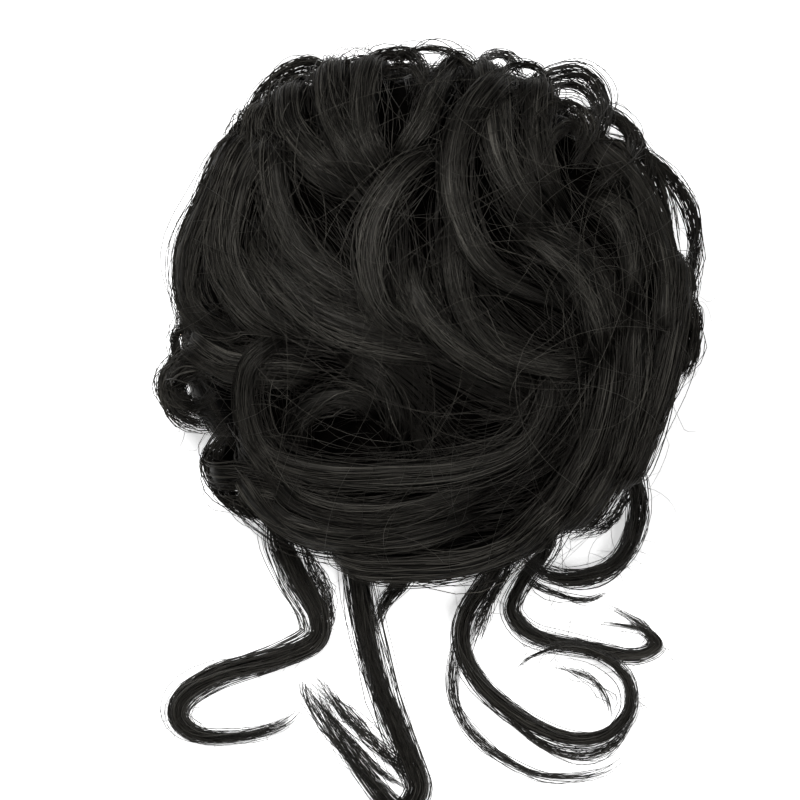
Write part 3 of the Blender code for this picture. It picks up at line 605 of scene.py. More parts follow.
def tucked_end(end, before, radius):
    """The place down the flank where a thick lock at the rim goes on to, or None for any other lock."""
    if math.hypot(end[0], end[1]) < RIM_REACH * BUN_RADIUS or radius < THICK_HALF_WIDTH * BUN_RADIUS:
        return None
    onward = end + (end - before) * ONWARD
    height = max(FLANK_FOOT * WIDEST_HEIGHT, radius * END_DROP)
    reach = flank_radius(height) - radius * FLANK_SINK
    heading = unit(onward[:2])
    return np.array([heading[0] * reach, heading[1] * reach, height])


def lock_route(lock):
    """The middle line of a lock on the heap, with both ends tucked down the flank or sunk."""
    radius = lock.half_width * BUN_RADIUS
    heap = BUN_HEIGHT - WIDEST_HEIGHT - radius
    points = []
    for u, v in lock.route:
        height = WIDEST_HEIGHT + heap * lock.lift * float(dome_share(math.hypot(u, v)))
        points.append(np.array([u * BUN_RADIUS, v * BUN_RADIUS, height]))
    start = tucked_end(points[0], points[1], radius)
    end = tucked_end(points[-1], points[-2], radius)
    if start is None:
        points[0][2] -= radius * END_DROP
    else:
        points.insert(0, start)
    if end is None:
        points[-1][2] -= radius * END_DROP
    else:
        points.append(end)
    return smooth_route(points)


def flank_route(start_turn, climb):
    """The middle line of one lock that winds up the flank."""
    radius = climb.half_width * BUN_RADIUS
    points = []
    for share in np.linspace(0.0, 1.0, CLIMB_POINTS):
        turn = math.radians(start_turn + climb.turn * share)
        height = WIDEST_HEIGHT * (climb.start_rise + (climb.end_rise - climb.start_rise) * share)
        reach = flank_radius(height) + radius * (math.sin(math.pi * share) - FLANK_SINK)
        points.append((reach * math.cos(turn), reach * math.sin(turn), height))
    return smooth_route(points)


def tendril_route(tendril):
    """The middle line of a tendril's underside, with its root beside the band put first."""
    points = [tuple(share * BUN_RADIUS for share in place) for place in tendril.route]
    if tendril.root_turn is not None:
        turn = math.radians(tendril.root_turn)
        points.insert(0, (ROOT_RADIUS * math.cos(turn), ROOT_RADIUS * math.sin(turn), 0.0))
    return smooth_route(points)


def axes_along(route, outward):
    """Unit vectors along a route: the side across it, and the outward one at right angles to it."""
    heading = unit(np.gradient(route, axis=0))
    outward = unit(outward - (outward * heading).sum(axis=1, keepdims=True) * heading)
    return np.cross(heading, outward), outward


def heap_outward(route):
    """The outward direction on the heap: away from a point below it."""
    return unit(route + HEAP_CENTRE_DEPTH * BUN_HEIGHT * UP)


def slow_waves(rng, count, along):
    """Smooth random wandering: for each of count fibres, a value that drifts between -1 and 1 along it."""
    total = np.zeros((count, along.size))
    for order in WANDER_ORDERS:
        pace = rng.uniform(*WANDER_PACE, (count, 1)) * order
        phase = rng.uniform(0.0, FULL_TURN, (count, 1))
        total += np.sin(FULL_TURN * pace * along[None, :] + phase) / order
    return total / sum(1 / order for order in WANDER_ORDERS)


def section_places(rng, count, bundle):
    """Random places in a bundle's section, across it and outward, as shares of its half width and depth."""
    turn = np.radians(rng.uniform(bundle.from_turn, bundle.to_turn, count))
    reach = rng.uniform(0.0, 1.0, count) ** SECTION_CROWDING
    return reach * np.cos(turn), reach * np.sin(turn)


def fibre_tones(rng, clump, clumps, up, along):
    """How light each fibre of a lock is along its length: darker low down and at the ends, as painted shade."""
    tones = (CLUMP_TONE * rng.random(clumps)[clump] + (1.0 - CLUMP_TONE) * rng.random(clump.size))[:, None]
    # Painted shade: the tone falls off low in the bundle and towards the lock's ends
    tones = tones * at_least(LOW_TONE, smooth_step(up, *LOW_SHADE_BAND))
    from_end = np.minimum(along, 1.0 - along)
    return tones * at_least(END_PAINTED_SHADE, smooth_step(from_end, 0.0, END_PAINTED_SHADE_SHARE))[None]


def lay_fibres(rng, route, along, outward, half_width, swell, bundle, fullness):
    """Fibres of one lock: their paths, their outward vectors and their tones."""
    side, outward = axes_along(route, outward)
    count = max(LEAST_FIBRES, round(bundle.density * half_width * MILLIMETRES * fullness))
    clump = rng.integers(0, bundle.clumps, count)
    gather = rng.uniform(*CLUMP_PULL, count)
    across, up = section_places(rng, count, bundle)
    clump_across, clump_up = section_places(rng, bundle.clumps, bundle)
    across += gather * (clump_across[clump] - across)
    up += gather * (clump_up[clump] - up)
    x = across[:, None] + bundle.wander * slow_waves(rng, bundle.clumps, along)[clump]
    y = up[:, None] + bundle.wander * slow_waves(rng, bundle.clumps, along)[clump]
    x += OWN_WANDER * bundle.wander * slow_waves(rng, count, along)
    y += OWN_WANDER * bundle.wander * slow_waves(rng, count, along)
    tones = fibre_tones(rng, clump, bundle.clumps, y, along)
    x *= half_width * swell[None]
    y *= half_width * bundle.depth * swell[None]
    away = np.minimum(rng.exponential(bundle.stray_reach, count), MOST_STRAY * bundle.stray_reach)
    away *= rng.random(count) < bundle.strays
    x += away[:, None] * slow_waves(rng, count, along)
    y += away[:, None] * np.abs(slow_waves(rng, count, along))
    paths = route[None] + side[None] * x[..., None] + outward[None] * y[..., None]
    paths = trim_ends(rng, paths, bundle.ends)
    return paths, np.broadcast_to(outward[None], paths.shape), tones


def trim_ends(rng, paths, ends):
    """The same fibres, each ending a little before the lock does."""
    count, points, _ = paths.shape
    start = rng.uniform(0.0, ends * START_TRIM, count)
    stop = 1.0 - rng.uniform(0.0, ends, count)
    share = np.linspace(0.0, 1.0, points)
    place = (start[:, None] + (stop - start)[:, None] * share[None]) * (points - 1)
    low = np.minimum(place.astype(int), points - 2)
    past = (place - low)[..., None]
    rows = np.arange(count)[:, None]
    return paths[rows, low] * (1.0 - past) + paths[rows, low + 1] * past


class Mesh:
    """Vertices and faces gathered for one piece, with a coordinate across and along the fibres and a tone."""

    def __init__(self):
        self.vertices = []
        self.faces = []
        self.face_sizes = []
        self.grain = []
        self.tones = []
        self.total = 0

    def add(self, vertices, faces, grain, tones=None):
        """Adds a block: faces holds arrays of vertex numbers, each with as many corners to a face."""
        self.vertices.append(vertices.reshape(-1, 3))
        self.grain.append(grain.reshape(-1, 2))
        self.tones.append(np.zeros(vertices.size // 3) if tones is None else tones.reshape(-1))
        for block in faces:
            self.faces.append((block + self.total).reshape(-1))
            self.face_sizes.append(np.full(len(block), block.shape[1]))
        self.total += self.vertices[-1].shape[0]

    def make(self, name, material):
        """The finished object, moved to where the bun lies and kept above the floor."""
        vertices = np.concatenate(self.vertices) + np.array([BUN_MIDDLE_X, BUN_MIDDLE_Y, 0.0])
        vertices[:, 2] = np.maximum(vertices[:, 2], FLOOR_GAP)
        corners = np.concatenate(self.faces).astype(np.int32)
        sizes = np.concatenate(self.face_sizes).astype(np.int32)
        grain = np.concatenate(self.grain)
        mesh = bpy.data.meshes.new(name)
        mesh.vertices.add(len(vertices))
        mesh.vertices.foreach_set("co", vertices.astype(np.float32).ravel())
        mesh.loops.add(len(corners))
        mesh.loops.foreach_set("vertex_index", corners)
        mesh.polygons.add(len(sizes))
        starts = np.concatenate([[0], np.cumsum(sizes)[:-1]])
        mesh.polygons.foreach_set("loop_start", starts.astype(np.int32))
        mesh.polygons.foreach_set("use_smooth", np.ones(len(sizes), dtype=bool))
        mesh.update(calc_edges=True)
        layer = mesh.uv_layers.new(name="grain")
        layer.data.foreach_set("uv", grain[corners].astype(np.float32).ravel())
        tone = mesh.attributes.new("tone", "FLOAT", "POINT")
        tone.data.foreach_set("value", np.concatenate(self.tones).astype(np.float32))
        mesh.validate()
        mesh.materials.append(material)
        piece = bpy.data.objects.new(name, mesh)
        bpy.context.scene.collection.objects.link(piece)
        return piece


def add_fibres(mesh, rng, laid, thickness):
    """Closed three-sided tubes along the laid paths, thinner at their ends."""
    paths, outward, tones = laid
    count, points, _ = paths.shape
    heading = unit(np.gradient(paths, axis=1))
    first = unit(outward - (outward * heading).sum(axis=2, keepdims=True) * heading)
    second = np.cross(heading, first)
    share = np.linspace(0.0, 1.0, points)
    thin = np.clip(np.minimum(share, 1.0 - share) / FIBRE_TAPER, 0.0, 1.0) ** TAPER_ROUNDING
    radius = 0.5 * thickness * rng.uniform(*THICKNESS_RANGE, count)[:, None]
    radius = radius * at_least(TIP_THICKNESS, thin)[None]
    corners = []
    for corner in range(FIBRE_SIDES):
        turn = math.pi / 2 + FULL_TURN * corner / FIBRE_SIDES
        corners.append(paths + radius[..., None] * (math.sin(turn) * first + math.cos(turn) * second))
    vertices = np.stack(corners, axis=2)
    number = np.arange(count * points * FIBRE_SIDES).reshape(count, points, FIBRE_SIDES)
    quads = []
    for corner in range(FIBRE_SIDES):
        after = (corner + 1) % FIBRE_SIDES
        quads.append(np.stack([number[:, :-1, corner], number[:, :-1, after],
                               number[:, 1:, after], number[:, 1:, corner]], axis=-1).reshape(-1, 4))
    caps = np.concatenate([number[:, 0, ::-1], number[:, -1, :]])
    grain = np.empty((count, points, FIBRE_SIDES, 2))
    grain[..., 0] = rng.random(count)[:, None, None]
    grain[..., 1] = share[None, :, None]
    tones = np.broadcast_to(tones[..., None], (count, points, FIBRE_SIDES))
    mesh.add(vertices, [np.concatenate(quads), caps], grain, tones)


def ring_walls(rings, sides):
    """The numbers of the vertices in each ring, and the four-cornered faces between one ring and the next."""
    number = np.arange(rings * sides).reshape(rings, sides)
    after = np.roll(number, -1, axis=1)
    walls = np.stack([number[:-1], number[1:], after[1:], after[:-1]], axis=-1).reshape(-1, 4)
    return number, walls


def add_body(mesh, rng, route, along, outward, half_width, depth, sides=BODY_SIDES, shade=1.0):
    """A closed body inside a lock, ridged along its length, with a half width for each point of the route."""
    side, outward = axes_along(route, outward)
    turns = np.linspace(0.0, FULL_TURN, sides, endpoint=False)
    ridge_turns = turns * BODY_RIDGES + rng.uniform(0.0, BODY_RIDGE_START)
    ridges = 1.0 + BODY_RIDGE * np.sin(ridge_turns)[None] * np.cos(along * BODY_RIDGE_PACE)[:, None]
    ridges += BODY_DENTS * rng.uniform(-1.0, 1.0, sides)[None]
    scale = half_width[:, None] * ridges
    vertices = (route[:, None] + side[:, None] * (scale * np.cos(turns))[..., None]
                + outward[:, None] * (scale * depth * np.sin(turns))[..., None])
    number, walls = ring_walls(len(route), sides)
    grain = np.empty((len(route), sides, 2))
    grain[..., 0] = turns[None] / FULL_TURN
    grain[..., 1] = along[:, None]
    # Painted shade: the body's tone falls off towards its ends and down its sides
    from_end = np.minimum(along, 1.0 - along)
    ends = at_least(BODY_END_PAINTED_SHADE, smooth_step(from_end, 0.0, BODY_END_SHADE_SHARE))
    tones = shade * ends[:, None] * smooth_step(np.sin(turns), *BODY_SIDE_SHADE_BAND)[None]
    mesh.add(vertices, [walls, number[:1, :], number[-1:, ::-1]], grain, tones)


def fibre_swell(along):
    """How wide a lock's fibres spread along its length, as a share of its half width."""
    at_ends, more = FIBRE_SWELL
    return at_ends + more * np.sqrt(np.maximum(0.0, np.sin(math.pi * along)))


def body_swell(along):
    """How wide a lock's body is along its length: it thins out at both ends, where the fibres go on."""
    at_ends, more = BODY_SWELL
    return at_ends + more * np.maximum(0.0, np.sin(math.pi * along)) ** BODY_SWELL_ROUNDING


def tendril_swell(tendril, along):
    """How wide a tendril is along its length, as a share of its half width."""
    return 1.0 - (1.0 - tendril.tip) * along ** 2


def new_material(name):
    """A new material, its nodes, its links and its shader."""
    material = bpy.data.materials.new(name)
    material.use_nodes = True
    nodes = material.node_tree.nodes
    return material, nodes, material.node_tree.links, nodes["Principled BSDF"]


def grain_noise(nodes, links, fineness):
    """Noise stretched along the grain of a piece."""
    grain = nodes.new("ShaderNodeUVMap")
    grain.uv_map = "grain"
    stretch = nodes.new("ShaderNodeMapping")
    stretch.inputs["Scale"].default_value = (fineness.across, fineness.along, 1.0)
    noise = nodes.new("ShaderNodeTexNoise")
    noise.inputs["Scale"].default_value = 1.0
    noise.inputs["Detail"].default_value = fineness.detail
    links.new(grain.outputs["UV"], stretch.inputs["Vector"])
    links.new(stretch.outputs["Vector"], noise.inputs["Vector"])
    return noise.outputs["Fac"]


def mapped(nodes, links, source, low, high):
    """A value that runs from low to high as the source runs from 0 to 1."""
    spread = nodes.new("ShaderNodeMapRange")
    spread.inputs["To Min"].default_value = low
    spread.inputs["To Max"].default_value = high
    links.new(source, spread.inputs["Value"])
    return spread.outputs["Result"]


def colour_ramp(nodes, links, source, dark, light, ramp_range=(0.0, 1.0), blend="LINEAR"):
    """A colour that goes from dark to light as the source runs through the range."""
    ramp = nodes.new("ShaderNodeValToRGB")
    ramp.color_ramp.interpolation = blend
    for element, position, colour in zip(ramp.color_ramp.elements, ramp_range, (dark, light)):
        element.position = position
        element.color = (*colour, 1.0)
    links.new(source, ramp.inputs["Fac"])
    return ramp.outputs["Color"]


def toned(nodes, links, source):
    """A value times the tone that the mesh has there."""
    tone = nodes.new("ShaderNodeAttribute")
    tone.attribute_name = "tone"
    product = nodes.new("ShaderNodeMath")
    product.operation = "MULTIPLY"
    links.new(tone.outputs["Fac"], product.inputs[0])
    links.new(source, product.inputs[1])
    return product.outputs["Value"]


def bumped(nodes, links, source, strength):
    """A normal that follows the source's rise and fall."""
    bump = nodes.new("ShaderNodeBump")
    bump.inputs["Strength"].default_value = strength
    bump.inputs["Distance"].default_value = BUMP_HEIGHT
    links.new(source, bump.inputs["Height"])
    return bump.outputs["Normal"]


def fibre_material(colours):
    """Glossy black synthetic fibre: each has its own tone, which drifts along it; in the locks the tone holds
    painted shade.
    """
    material, nodes, links, shader = new_material("synthetic_fibre")
    noise = grain_noise(nodes, links, FIBRE_GRAIN)
    drift = toned(nodes, links, mapped(nodes, links, noise, *FIBRE_DRIFT))
    colour = colour_ramp(nodes, links, drift, colours.dark_fibre, colours.light_fibre, FIBRE_RAMP, "EASE")
    links.new(colour, shader.inputs["Base Color"])
    links.new(mapped(nodes, links, drift, *FIBRE_ROUGHNESS), shader.inputs["Roughness"])
    shader.inputs["Specular IOR Level"].default_value = FIBRE_GLOSS
    shader.inputs["Specular Tint"].default_value = (*colours.sheen, 1.0)
    return material


def lock_body_material(colours):
    """The body of a lock: packed fibres that show as fine streaks, with painted shade that goes nearly black at
    the sides.
    """
    material, nodes, links, shader = new_material("lock_body")
    noise = grain_noise(nodes, links, BODY_GRAIN)
    streak = toned(nodes, links, mapped(nodes, links, noise, *BODY_STREAKS))
    colour = colour_ramp(nodes, links, streak, BLACK, colours.light_fibre, BODY_RAMP, "EASE")
    links.new(colour, shader.inputs["Base Color"])
    links.new(bumped(nodes, links, noise, BODY_BUMP), shader.inputs["Normal"])
    shader.inputs["Specular IOR Level"].default_value = BODY_GLOSS
    shader.inputs["Roughness"].default_value = BODY_ROUGHNESS
    shader.inputs["Specular Tint"].default_value = (*colours.sheen, 1.0)
    return material


def packed_shade_material(colours):
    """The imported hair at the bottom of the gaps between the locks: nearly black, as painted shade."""
    material, nodes, links, shader = new_material("packed_fibre_shade")
    noise = grain_noise(nodes, links, PACKED_GRAIN)
    # Painted shade: black up to the darkest fibre colour, darker than any fibre, for the shade at the bottom of
    # the gaps
    colour = colour_ramp(nodes, links, noise, BLACK, colours.dark_fibre, PACKED_SHADE_RAMP)
    links.new(colour, shader.inputs["Base Color"])
    shader.inputs["Roughness"].default_value = PACKED_ROUGHNESS
    shader.inputs["Specular IOR Level"].default_value = PACKED_GLOSS
    return material


def fibre_finish(colours):
    """The fibres' finish, made once and shared by every piece of fibres."""
    return bpy.data.materials.get("synthetic_fibre") or fibre_material(colours)


def body_finish(colours):
    """The lock bodies' finish, made once and shared by every piece of bodies."""
    return bpy.data.materials.get("lock_body") or lock_body_material(colours)


def dress(piece, *nodes, slot="hair"):
    """Puts a piece on the root body and hides the CAD nodes that it stands for; the slot is not used."""
    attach(piece, "root")
    if nodes:
        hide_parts(*nodes)


def hair_settings(context, operator, number=0):
    """The sizes, the colours and a random source for one piece of an operator."""
    sizes = context.scene.hairpiece_sizes
    seed = sizes.seed * PIECES_TO_A_SEED + SEEDS[operator] + number
    return sizes, context.scene.hairpiece_colours, np.random.default_rng(seed)


def make_lock_group(context, group, number):
    """One group of heaped locks: their fibres as one piece and their bodies as another."""
    sizes, colours, rng = hair_settings(context, "heaped_locks", number)
    fibres = Mesh()
    bodies = Mesh()
    for lock in group.locks:
        half_width = lock.half_width * BUN_RADIUS
        route, along = sample_route(lock_route(lock), sizes)
        outward = heap_outward(route)
        swell = fibre_swell(along)
        body_width = half_width * BODY_WIDTH * body_swell(along)
        # The group's shade scales its bodies' and fibres' tones; for the coil this is painted shade
        add_body(bodies, rng, route, along, outward, body_width, BODY_DEPTH, shade=group.shade)
        paths, up, tones = lay_fibres(rng, route, along, outward, half_width * HEAP_SPREAD, swell,
                                      HEAP_BUNDLE, sizes.fullness)
        add_fibres(fibres, rng, (paths, up, tones * group.shade), sizes.fibre_thickness)
        low_route = route - outward * half_width * UNDER_DROP
        laid = lay_fibres(rng, low_route, along, outward, half_width * UNDER_SPREAD, swell,
                          UNDER_BUNDLE, sizes.fullness)
        add_fibres(fibres, rng, laid, sizes.fibre_thickness)
    dress(fibres.make(group.name, fibre_finish(colours)), "hair_bun")
    dress(bodies.make(group.name + "_cores", body_finish(colours)), "hair_bun")


class HAIRPIECE_OT_heaped_locks(bpy.types.Operator):
    """Lays the locks that are heaped into the bun"""

    bl_idname = "hairpiece.heaped_locks"
    bl_label = "Heaped Locks"

    def execute(self, context):
        for number, group in enumerate(LOCK_GROUPS):
            make_lock_group(context, group, number)
        return {"FINISHED"}


class HAIRPIECE_OT_edge_loops(bpy.types.Operator):
    """Lays the thin loops and wisps that stand out round the bun's edge"""

    bl_idname = "hairpiece.edge_loops"
    bl_label = "Edge Loops"

    def execute(self, context):
        sizes, colours, rng = hair_settings(context, "edge_loops")
        fibres = Mesh()
        for lock in (*EDGE_LOOPS, *WISPS):
            route, along = sample_route(lock_route(lock), sizes)
            half_width = lock.half_width * BUN_RADIUS * EDGE_SPREAD
            laid = lay_fibres(rng, route, along, heap_outward(route), half_width, np.ones(along.size),
                              ARCH_BUNDLE, sizes.fullness)
            add_fibres(fibres, rng, laid, sizes.fibre_thickness)
        dress(fibres.make("edge_loops", fibre_finish(colours)), "hair_bun")
        return {"FINISHED"}


def core_height(distance):
    """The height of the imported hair's dome at a distance from its middle."""
    return WIDEST_HEIGHT + (CORE_TOP - WIDEST_HEIGHT) * dome_share(distance / CORE_RADIUS)


def flow_samples():
    """Places on the heaped locks seen from above, with each one's heading there."""
    places = []
    headings = []
    for group in LOCK_GROUPS:
        for lock in group.locks:
            route = lock_route(lock)[::FLOW_STRIDE, :2]
            places.append(route)
            headings.append(unit(np.gradient(route, axis=0)))
    return np.vstack(places), np.vstack(headings)


def lay_undercoat(rng, count):
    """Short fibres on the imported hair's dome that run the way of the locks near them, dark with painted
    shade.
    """
    places, headings = flow_samples()
    turn = rng.uniform(0.0, FULL_TURN, count)
    reach = CORE_RADIUS * UNDERCOAT_REACH * np.sqrt(rng.random(count))
    spot = np.stack([reach * np.cos(turn), reach * np.sin(turn)], axis=1)
    nearest = np.argmin(((spot[:, None] - places[None]) ** 2).sum(axis=2), axis=1)
    heading = headings[nearest]
    steps = [spot]
    for _ in range(UNDERCOAT_STEPS):
        squares = ((spot[:, None] - places[None]) ** 2).sum(axis=2)
        weight = 1.0 / (squares + FLOW_REACH ** 2) ** 2
        weight *= np.sign(heading @ headings.T)
        heading = unit(FLOW_KEPT * heading + (1.0 - FLOW_KEPT) * unit(weight @ headings))
        spot = spot + heading * UNDERCOAT_STEP
        steps.append(spot)
    flat = np.stack(steps, axis=1)
    distance = np.linalg.norm(flat, axis=2)
    share = np.linspace(0.0, 1.0, flat.shape[1])
    lift = UNDERCOAT_LIFT * rng.random(count)[:, None] * np.sin(math.pi * share)[None]
    height = core_height(np.minimum(distance, CORE_RADIUS)) + UNDERCOAT_GAP + lift
    flat *= np.minimum(1.0, CORE_RADIUS / np.maximum(distance, LEAST_LENGTH))[..., None]
    paths = np.concatenate([flat, height[..., None]], axis=2)
    # Painted shade: the undercoat's tones are kept low, as the gaps between the locks lie in shade
    tones = np.broadcast_to((UNDERCOAT_SHADE_TONE * rng.random(count))[:, None], distance.shape)
    return paths, heap_outward(paths), tones


class HAIRPIECE_OT_undercoat(bpy.types.Operator):
    """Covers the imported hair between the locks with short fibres"""

    bl_idname = "hairpiece.undercoat"
    bl_label = "Undercoat"

    def execute(self, context):
        sizes, colours, rng = hair_settings(context, "undercoat")
        fibres = Mesh()
        laid = lay_undercoat(rng, round(UNDERCOAT_FIBRES * sizes.fullness))
        add_fibres(fibres, rng, laid, sizes.fibre_thickness)
        dress(fibres.make("undercoat", fibre_finish(colours)), "hair_bun")
        return {"FINISHED"}


def lay_arcs(rng, middles, lengths):
    """Flat arcs of hair, each about its own middle and in its own direction."""
    count = len(middles)
    heading = rng.uniform(0.0, FULL_TURN, count)
    bend = rng.uniform(*LOOSE_HAIR_TURN, count) * rng.choice([-1.0, 1.0], count)
    share = np.linspace(-0.5, 0.5, LOOSE_HAIR_STEPS + 1)
    way = heading[:, None] + bend[:, None] * share[None] * (1.0 + LOOSE_HAIR_CURL * share[None])
    step = (lengths / LOOSE_HAIR_STEPS)[:, None, None]
    arcs = np.cumsum(np.stack([np.cos(way), np.sin(way)], axis=-1) * step, axis=1)
    return arcs + (middles - arcs[:, LOOSE_HAIR_STEPS // 2])[:, None]


def lay_loose_hairs(rng, count):
    """Fine hairs that lie over the heap in arcs, some of them past its edge."""
    turn = rng.uniform(0.0, FULL_TURN, count)
    reach = BUN_RADIUS * LOOSE_HAIR_REACH * rng.random(count) ** LOOSE_HAIR_CROWDING
    middles = np.stack([reach * np.cos(turn), reach * np.sin(turn)], axis=-1)
    arcs = lay_arcs(rng, middles, rng.uniform(*LOOSE_HAIR_LENGTH, count))
    distance = np.hypot(arcs[..., 0], arcs[..., 1])
    edge = BUN_RADIUS + LOOSE_HAIR_OVERHANG * np.maximum(distance - BUN_RADIUS, 0.0)
    pull = np.minimum(1.0, edge / np.maximum(distance, LEAST_LENGTH))
    heap = BUN_HEIGHT - WIDEST_HEIGHT
    height = WIDEST_HEIGHT + heap * dome_share(distance * pull / BUN_RADIUS)
    height += LOOSE_HAIR_LIFT * rng.uniform(-1.0, 1.0, count)[:, None]
    paths = np.concatenate([arcs * pull[..., None], height[..., None]], axis=2)
    tones = np.broadcast_to(rng.uniform(*LOOSE_HAIR_TONES, count)[:, None], distance.shape)
    return paths, heap_outward(paths), tones


def lay_tendril_hairs(rng, tendril, sizes):
    """Fine hairs that cross one tendril at any angle."""
    route, _ = sample_route(tendril_route(tendril), sizes)
    chosen = route[rng.integers(len(route) // TENDRIL_HAIRLESS_PART, len(route), TENDRIL_HAIRS)]
    middles = chosen[:, :2] + rng.normal(0.0, TENDRIL_HAIR_REACH, (TENDRIL_HAIRS, 2))
    arcs = lay_arcs(rng, middles, rng.uniform(*TENDRIL_HAIR_LENGTH, TENDRIL_HAIRS))
    lift = rng.uniform(*TENDRIL_HAIR_LIFT, (TENDRIL_HAIRS, 1))
    height = chosen[:, 2:] + tendril.half_width * BUN_RADIUS * lift
    height = np.broadcast_to(height[:, None], (*arcs.shape[:2], 1))
    paths = np.concatenate([arcs, height], axis=2)
    tones = np.broadcast_to(rng.uniform(*TENDRIL_HAIR_TONES, (TENDRIL_HAIRS, 1)), paths.shape[:2])
    return paths, np.broadcast_to(UP, paths.shape), tones


class HAIRPIECE_OT_loose_hairs(bpy.types.Operator):
    """Strews fine loose hairs over the bun, and thin wisps beside its tendrils"""

    bl_idname = "hairpiece.loose_hairs"
    bl_label = "Loose Hairs"

    def execute(self, context):
        sizes, colours, rng = hair_settings(context, "loose_hairs")
        hairs = Mesh()
        thickness = sizes.fibre_thickness * LOOSE_HAIR_THICKNESS
        add_fibres(hairs, rng, lay_loose_hairs(rng, round(LOOSE_HAIRS * sizes.fullness)), thickness)
        for tendril in (*TENDRILS, SIDE_LOOP):
            add_fibres(hairs, rng, lay_tendril_hairs(rng, tendril, sizes), thickness)
        for wisp in FLOOR_WISPS:
            route, along = sample_route(tendril_route(wisp), sizes)
            half_width = wisp.half_width * BUN_RADIUS
            route = route + half_width * UP
            outward = np.broadcast_to(UP, route.shape)
            laid = lay_fibres(rng, route, along, outward, half_width, np.ones(along.size), WISP_BUNDLE,
                              sizes.fullness)
            add_fibres(hairs, rng, laid, sizes.fibre_thickness * WISP_THICKNESS)
        dress(hairs.make("loose_hairs", fibre_finish(colours)), "hair_bun")
        return {"FINISHED"}


class HAIRPIECE_OT_flank_locks(bpy.types.Operator):
    """Winds locks round the bun's flank, under the heaped ones"""

    bl_idname = "hairpiece.flank_locks"
    bl_label = "Flank Locks"

    def execute(self, context):
        sizes, colours, rng = hair_settings(context, "flank_locks")
        fibres = Mesh()
        bodies = Mesh()
        for climb in CLIMBS:
            half_width = climb.half_width * BUN_RADIUS
            for number in range(climb.count):
                start = 360.0 * number / climb.count + rng.uniform(-CLIMB_SHIFT, CLIMB_SHIFT)
                route, along = sample_route(flank_route(start, climb), sizes)
                outward = heap_outward(route)
                body_width = half_width * BODY_WIDTH * body_swell(along)
                add_body(bodies, rng, route, along, outward, body_width, BODY_DEPTH)
                laid = lay_fibres(rng, route, along, outward, half_width, fibre_swell(along), HEAP_BUNDLE,
                                  sizes.fullness * FLANK_FULLNESS)
                add_fibres(fibres, rng, laid, sizes.fibre_thickness)
        dress(fibres.make("flank_locks", fibre_finish(colours)), "hair_bun")
        dress(bodies.make("flank_cores", body_finish(colours)), "hair_bun")
        return {"FINISHED"}


def packed_profile():
    """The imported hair's half section, from the top down the flank, across the rest face and up the hollow."""
    reach = np.sin(np.linspace(0.0, math.pi / 2, PACKED_DOME_POINTS))
    dome_heights = WIDEST_HEIGHT + (CORE_TOP - WIDEST_HEIGHT) * dome_share(reach)
    dome = np.stack([reach * CORE_RADIUS, dome_heights], axis=1)
    heights = WIDEST_HEIGHT * np.linspace(1.0, PACKED_FOOT, PACKED_FLANK_POINTS)[1:]
    flank = np.stack([flank_radius(heights), heights], axis=1)
    outer_mouth, inner_mouth = MOUTH_HEIGHTS
    hollow = np.array([
        (BAND_RADIUS + MOUTH_WIDENING, outer_mouth),
        (BAND_RADIUS, inner_mouth),
        (BAND_RADIUS, HOLLOW_FOOT),
        (HOLLOW_END_RADIUS, HOLLOW_DEPTH),
        (0.0, HOLLOW_DEPTH)])
    return np.vstack([dome, flank, hollow]) * np.array([PACKED_SHRINK, 1.0])


class HAIRPIECE_OT_packed_hair(bpy.types.Operator):
    """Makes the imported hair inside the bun, hollow from below"""

    bl_idname = "hairpiece.packed_hair"
    bl_label = "Packed Hair"

    def execute(self, context):
        profile = packed_profile()
        ring = profile[1:-1]
        turns = np.linspace(0.0, FULL_TURN, PACKED_SIDES, endpoint=False)
        wave = 1.0 + PACKED_WAVE * np.sin(PACKED_WAVES * turns[None] + ring[:, 1:2] * PACKED_WAVE_PACE)
        x = ring[:, :1] * wave * np.cos(turns)
        y = ring[:, :1] * wave * np.sin(turns)
        z = np.broadcast_to(ring[:, 1:2], x.shape)
        rings = np.stack([x, y, z], axis=-1).reshape(-1, 3)
        top = np.array([[0.0, 0.0, profile[0, 1]]])
        end = np.array([[0.0, 0.0, profile[-1, 1]]])
        vertices = np.vstack([rings, top, end])
        number, walls = ring_walls(len(ring), PACKED_SIDES)
        after = np.roll(number, -1, axis=1)
        peak = np.full(PACKED_SIDES, len(rings))
        top_fan = np.stack([number[0], after[0], peak], axis=-1)
        end_fan = np.stack([after[-1], number[-1], peak + 1], axis=-1)
        grain = np.zeros((len(vertices), 2))
        grain[:len(rings), 0] = np.tile(turns / FULL_TURN, len(ring))
        grain[:len(rings), 1] = np.repeat(np.linspace(0.0, 1.0, len(ring)), PACKED_SIDES)
        mesh = Mesh()
        mesh.add(vertices, [walls, top_fan, end_fan], grain)
        finish = packed_shade_material(context.scene.hairpiece_colours)
        dress(mesh.make("packed_hair", finish), "hair_bun")
        return {"FINISHED"}


def lay_back_fibres(rng, count):
    """Fibres wound round the hollow over the rest face."""
    share = np.linspace(0.0, 1.0, BACK_STEPS + 1)
    turn = rng.uniform(0.0, FULL_TURN, count)[:, None]
    turn = turn + rng.uniform(*BACK_TURN, count)[:, None] * rng.choice([-1.0, 1.0], count)[:, None] * share
    reach = rng.uniform(BAND_RADIUS + 2 * BACK_WANDER, REST_FACE_RADIUS, count)[:, None]
    reach = reach + BACK_WANDER * slow_waves(rng, count, share)
    height = np.broadcast_to(rng.uniform(FLOOR_GAP, BACK_LIFT, count)[:, None], reach.shape)
    paths = np.stack([reach * np.cos(turn), reach * np.sin(turn), height], axis=-1)
    tones = np.broadcast_to(rng.uniform(*BACK_TONES, count)[:, None], reach.shape)
    return paths, np.broadcast_to(-UP, paths.shape), tones


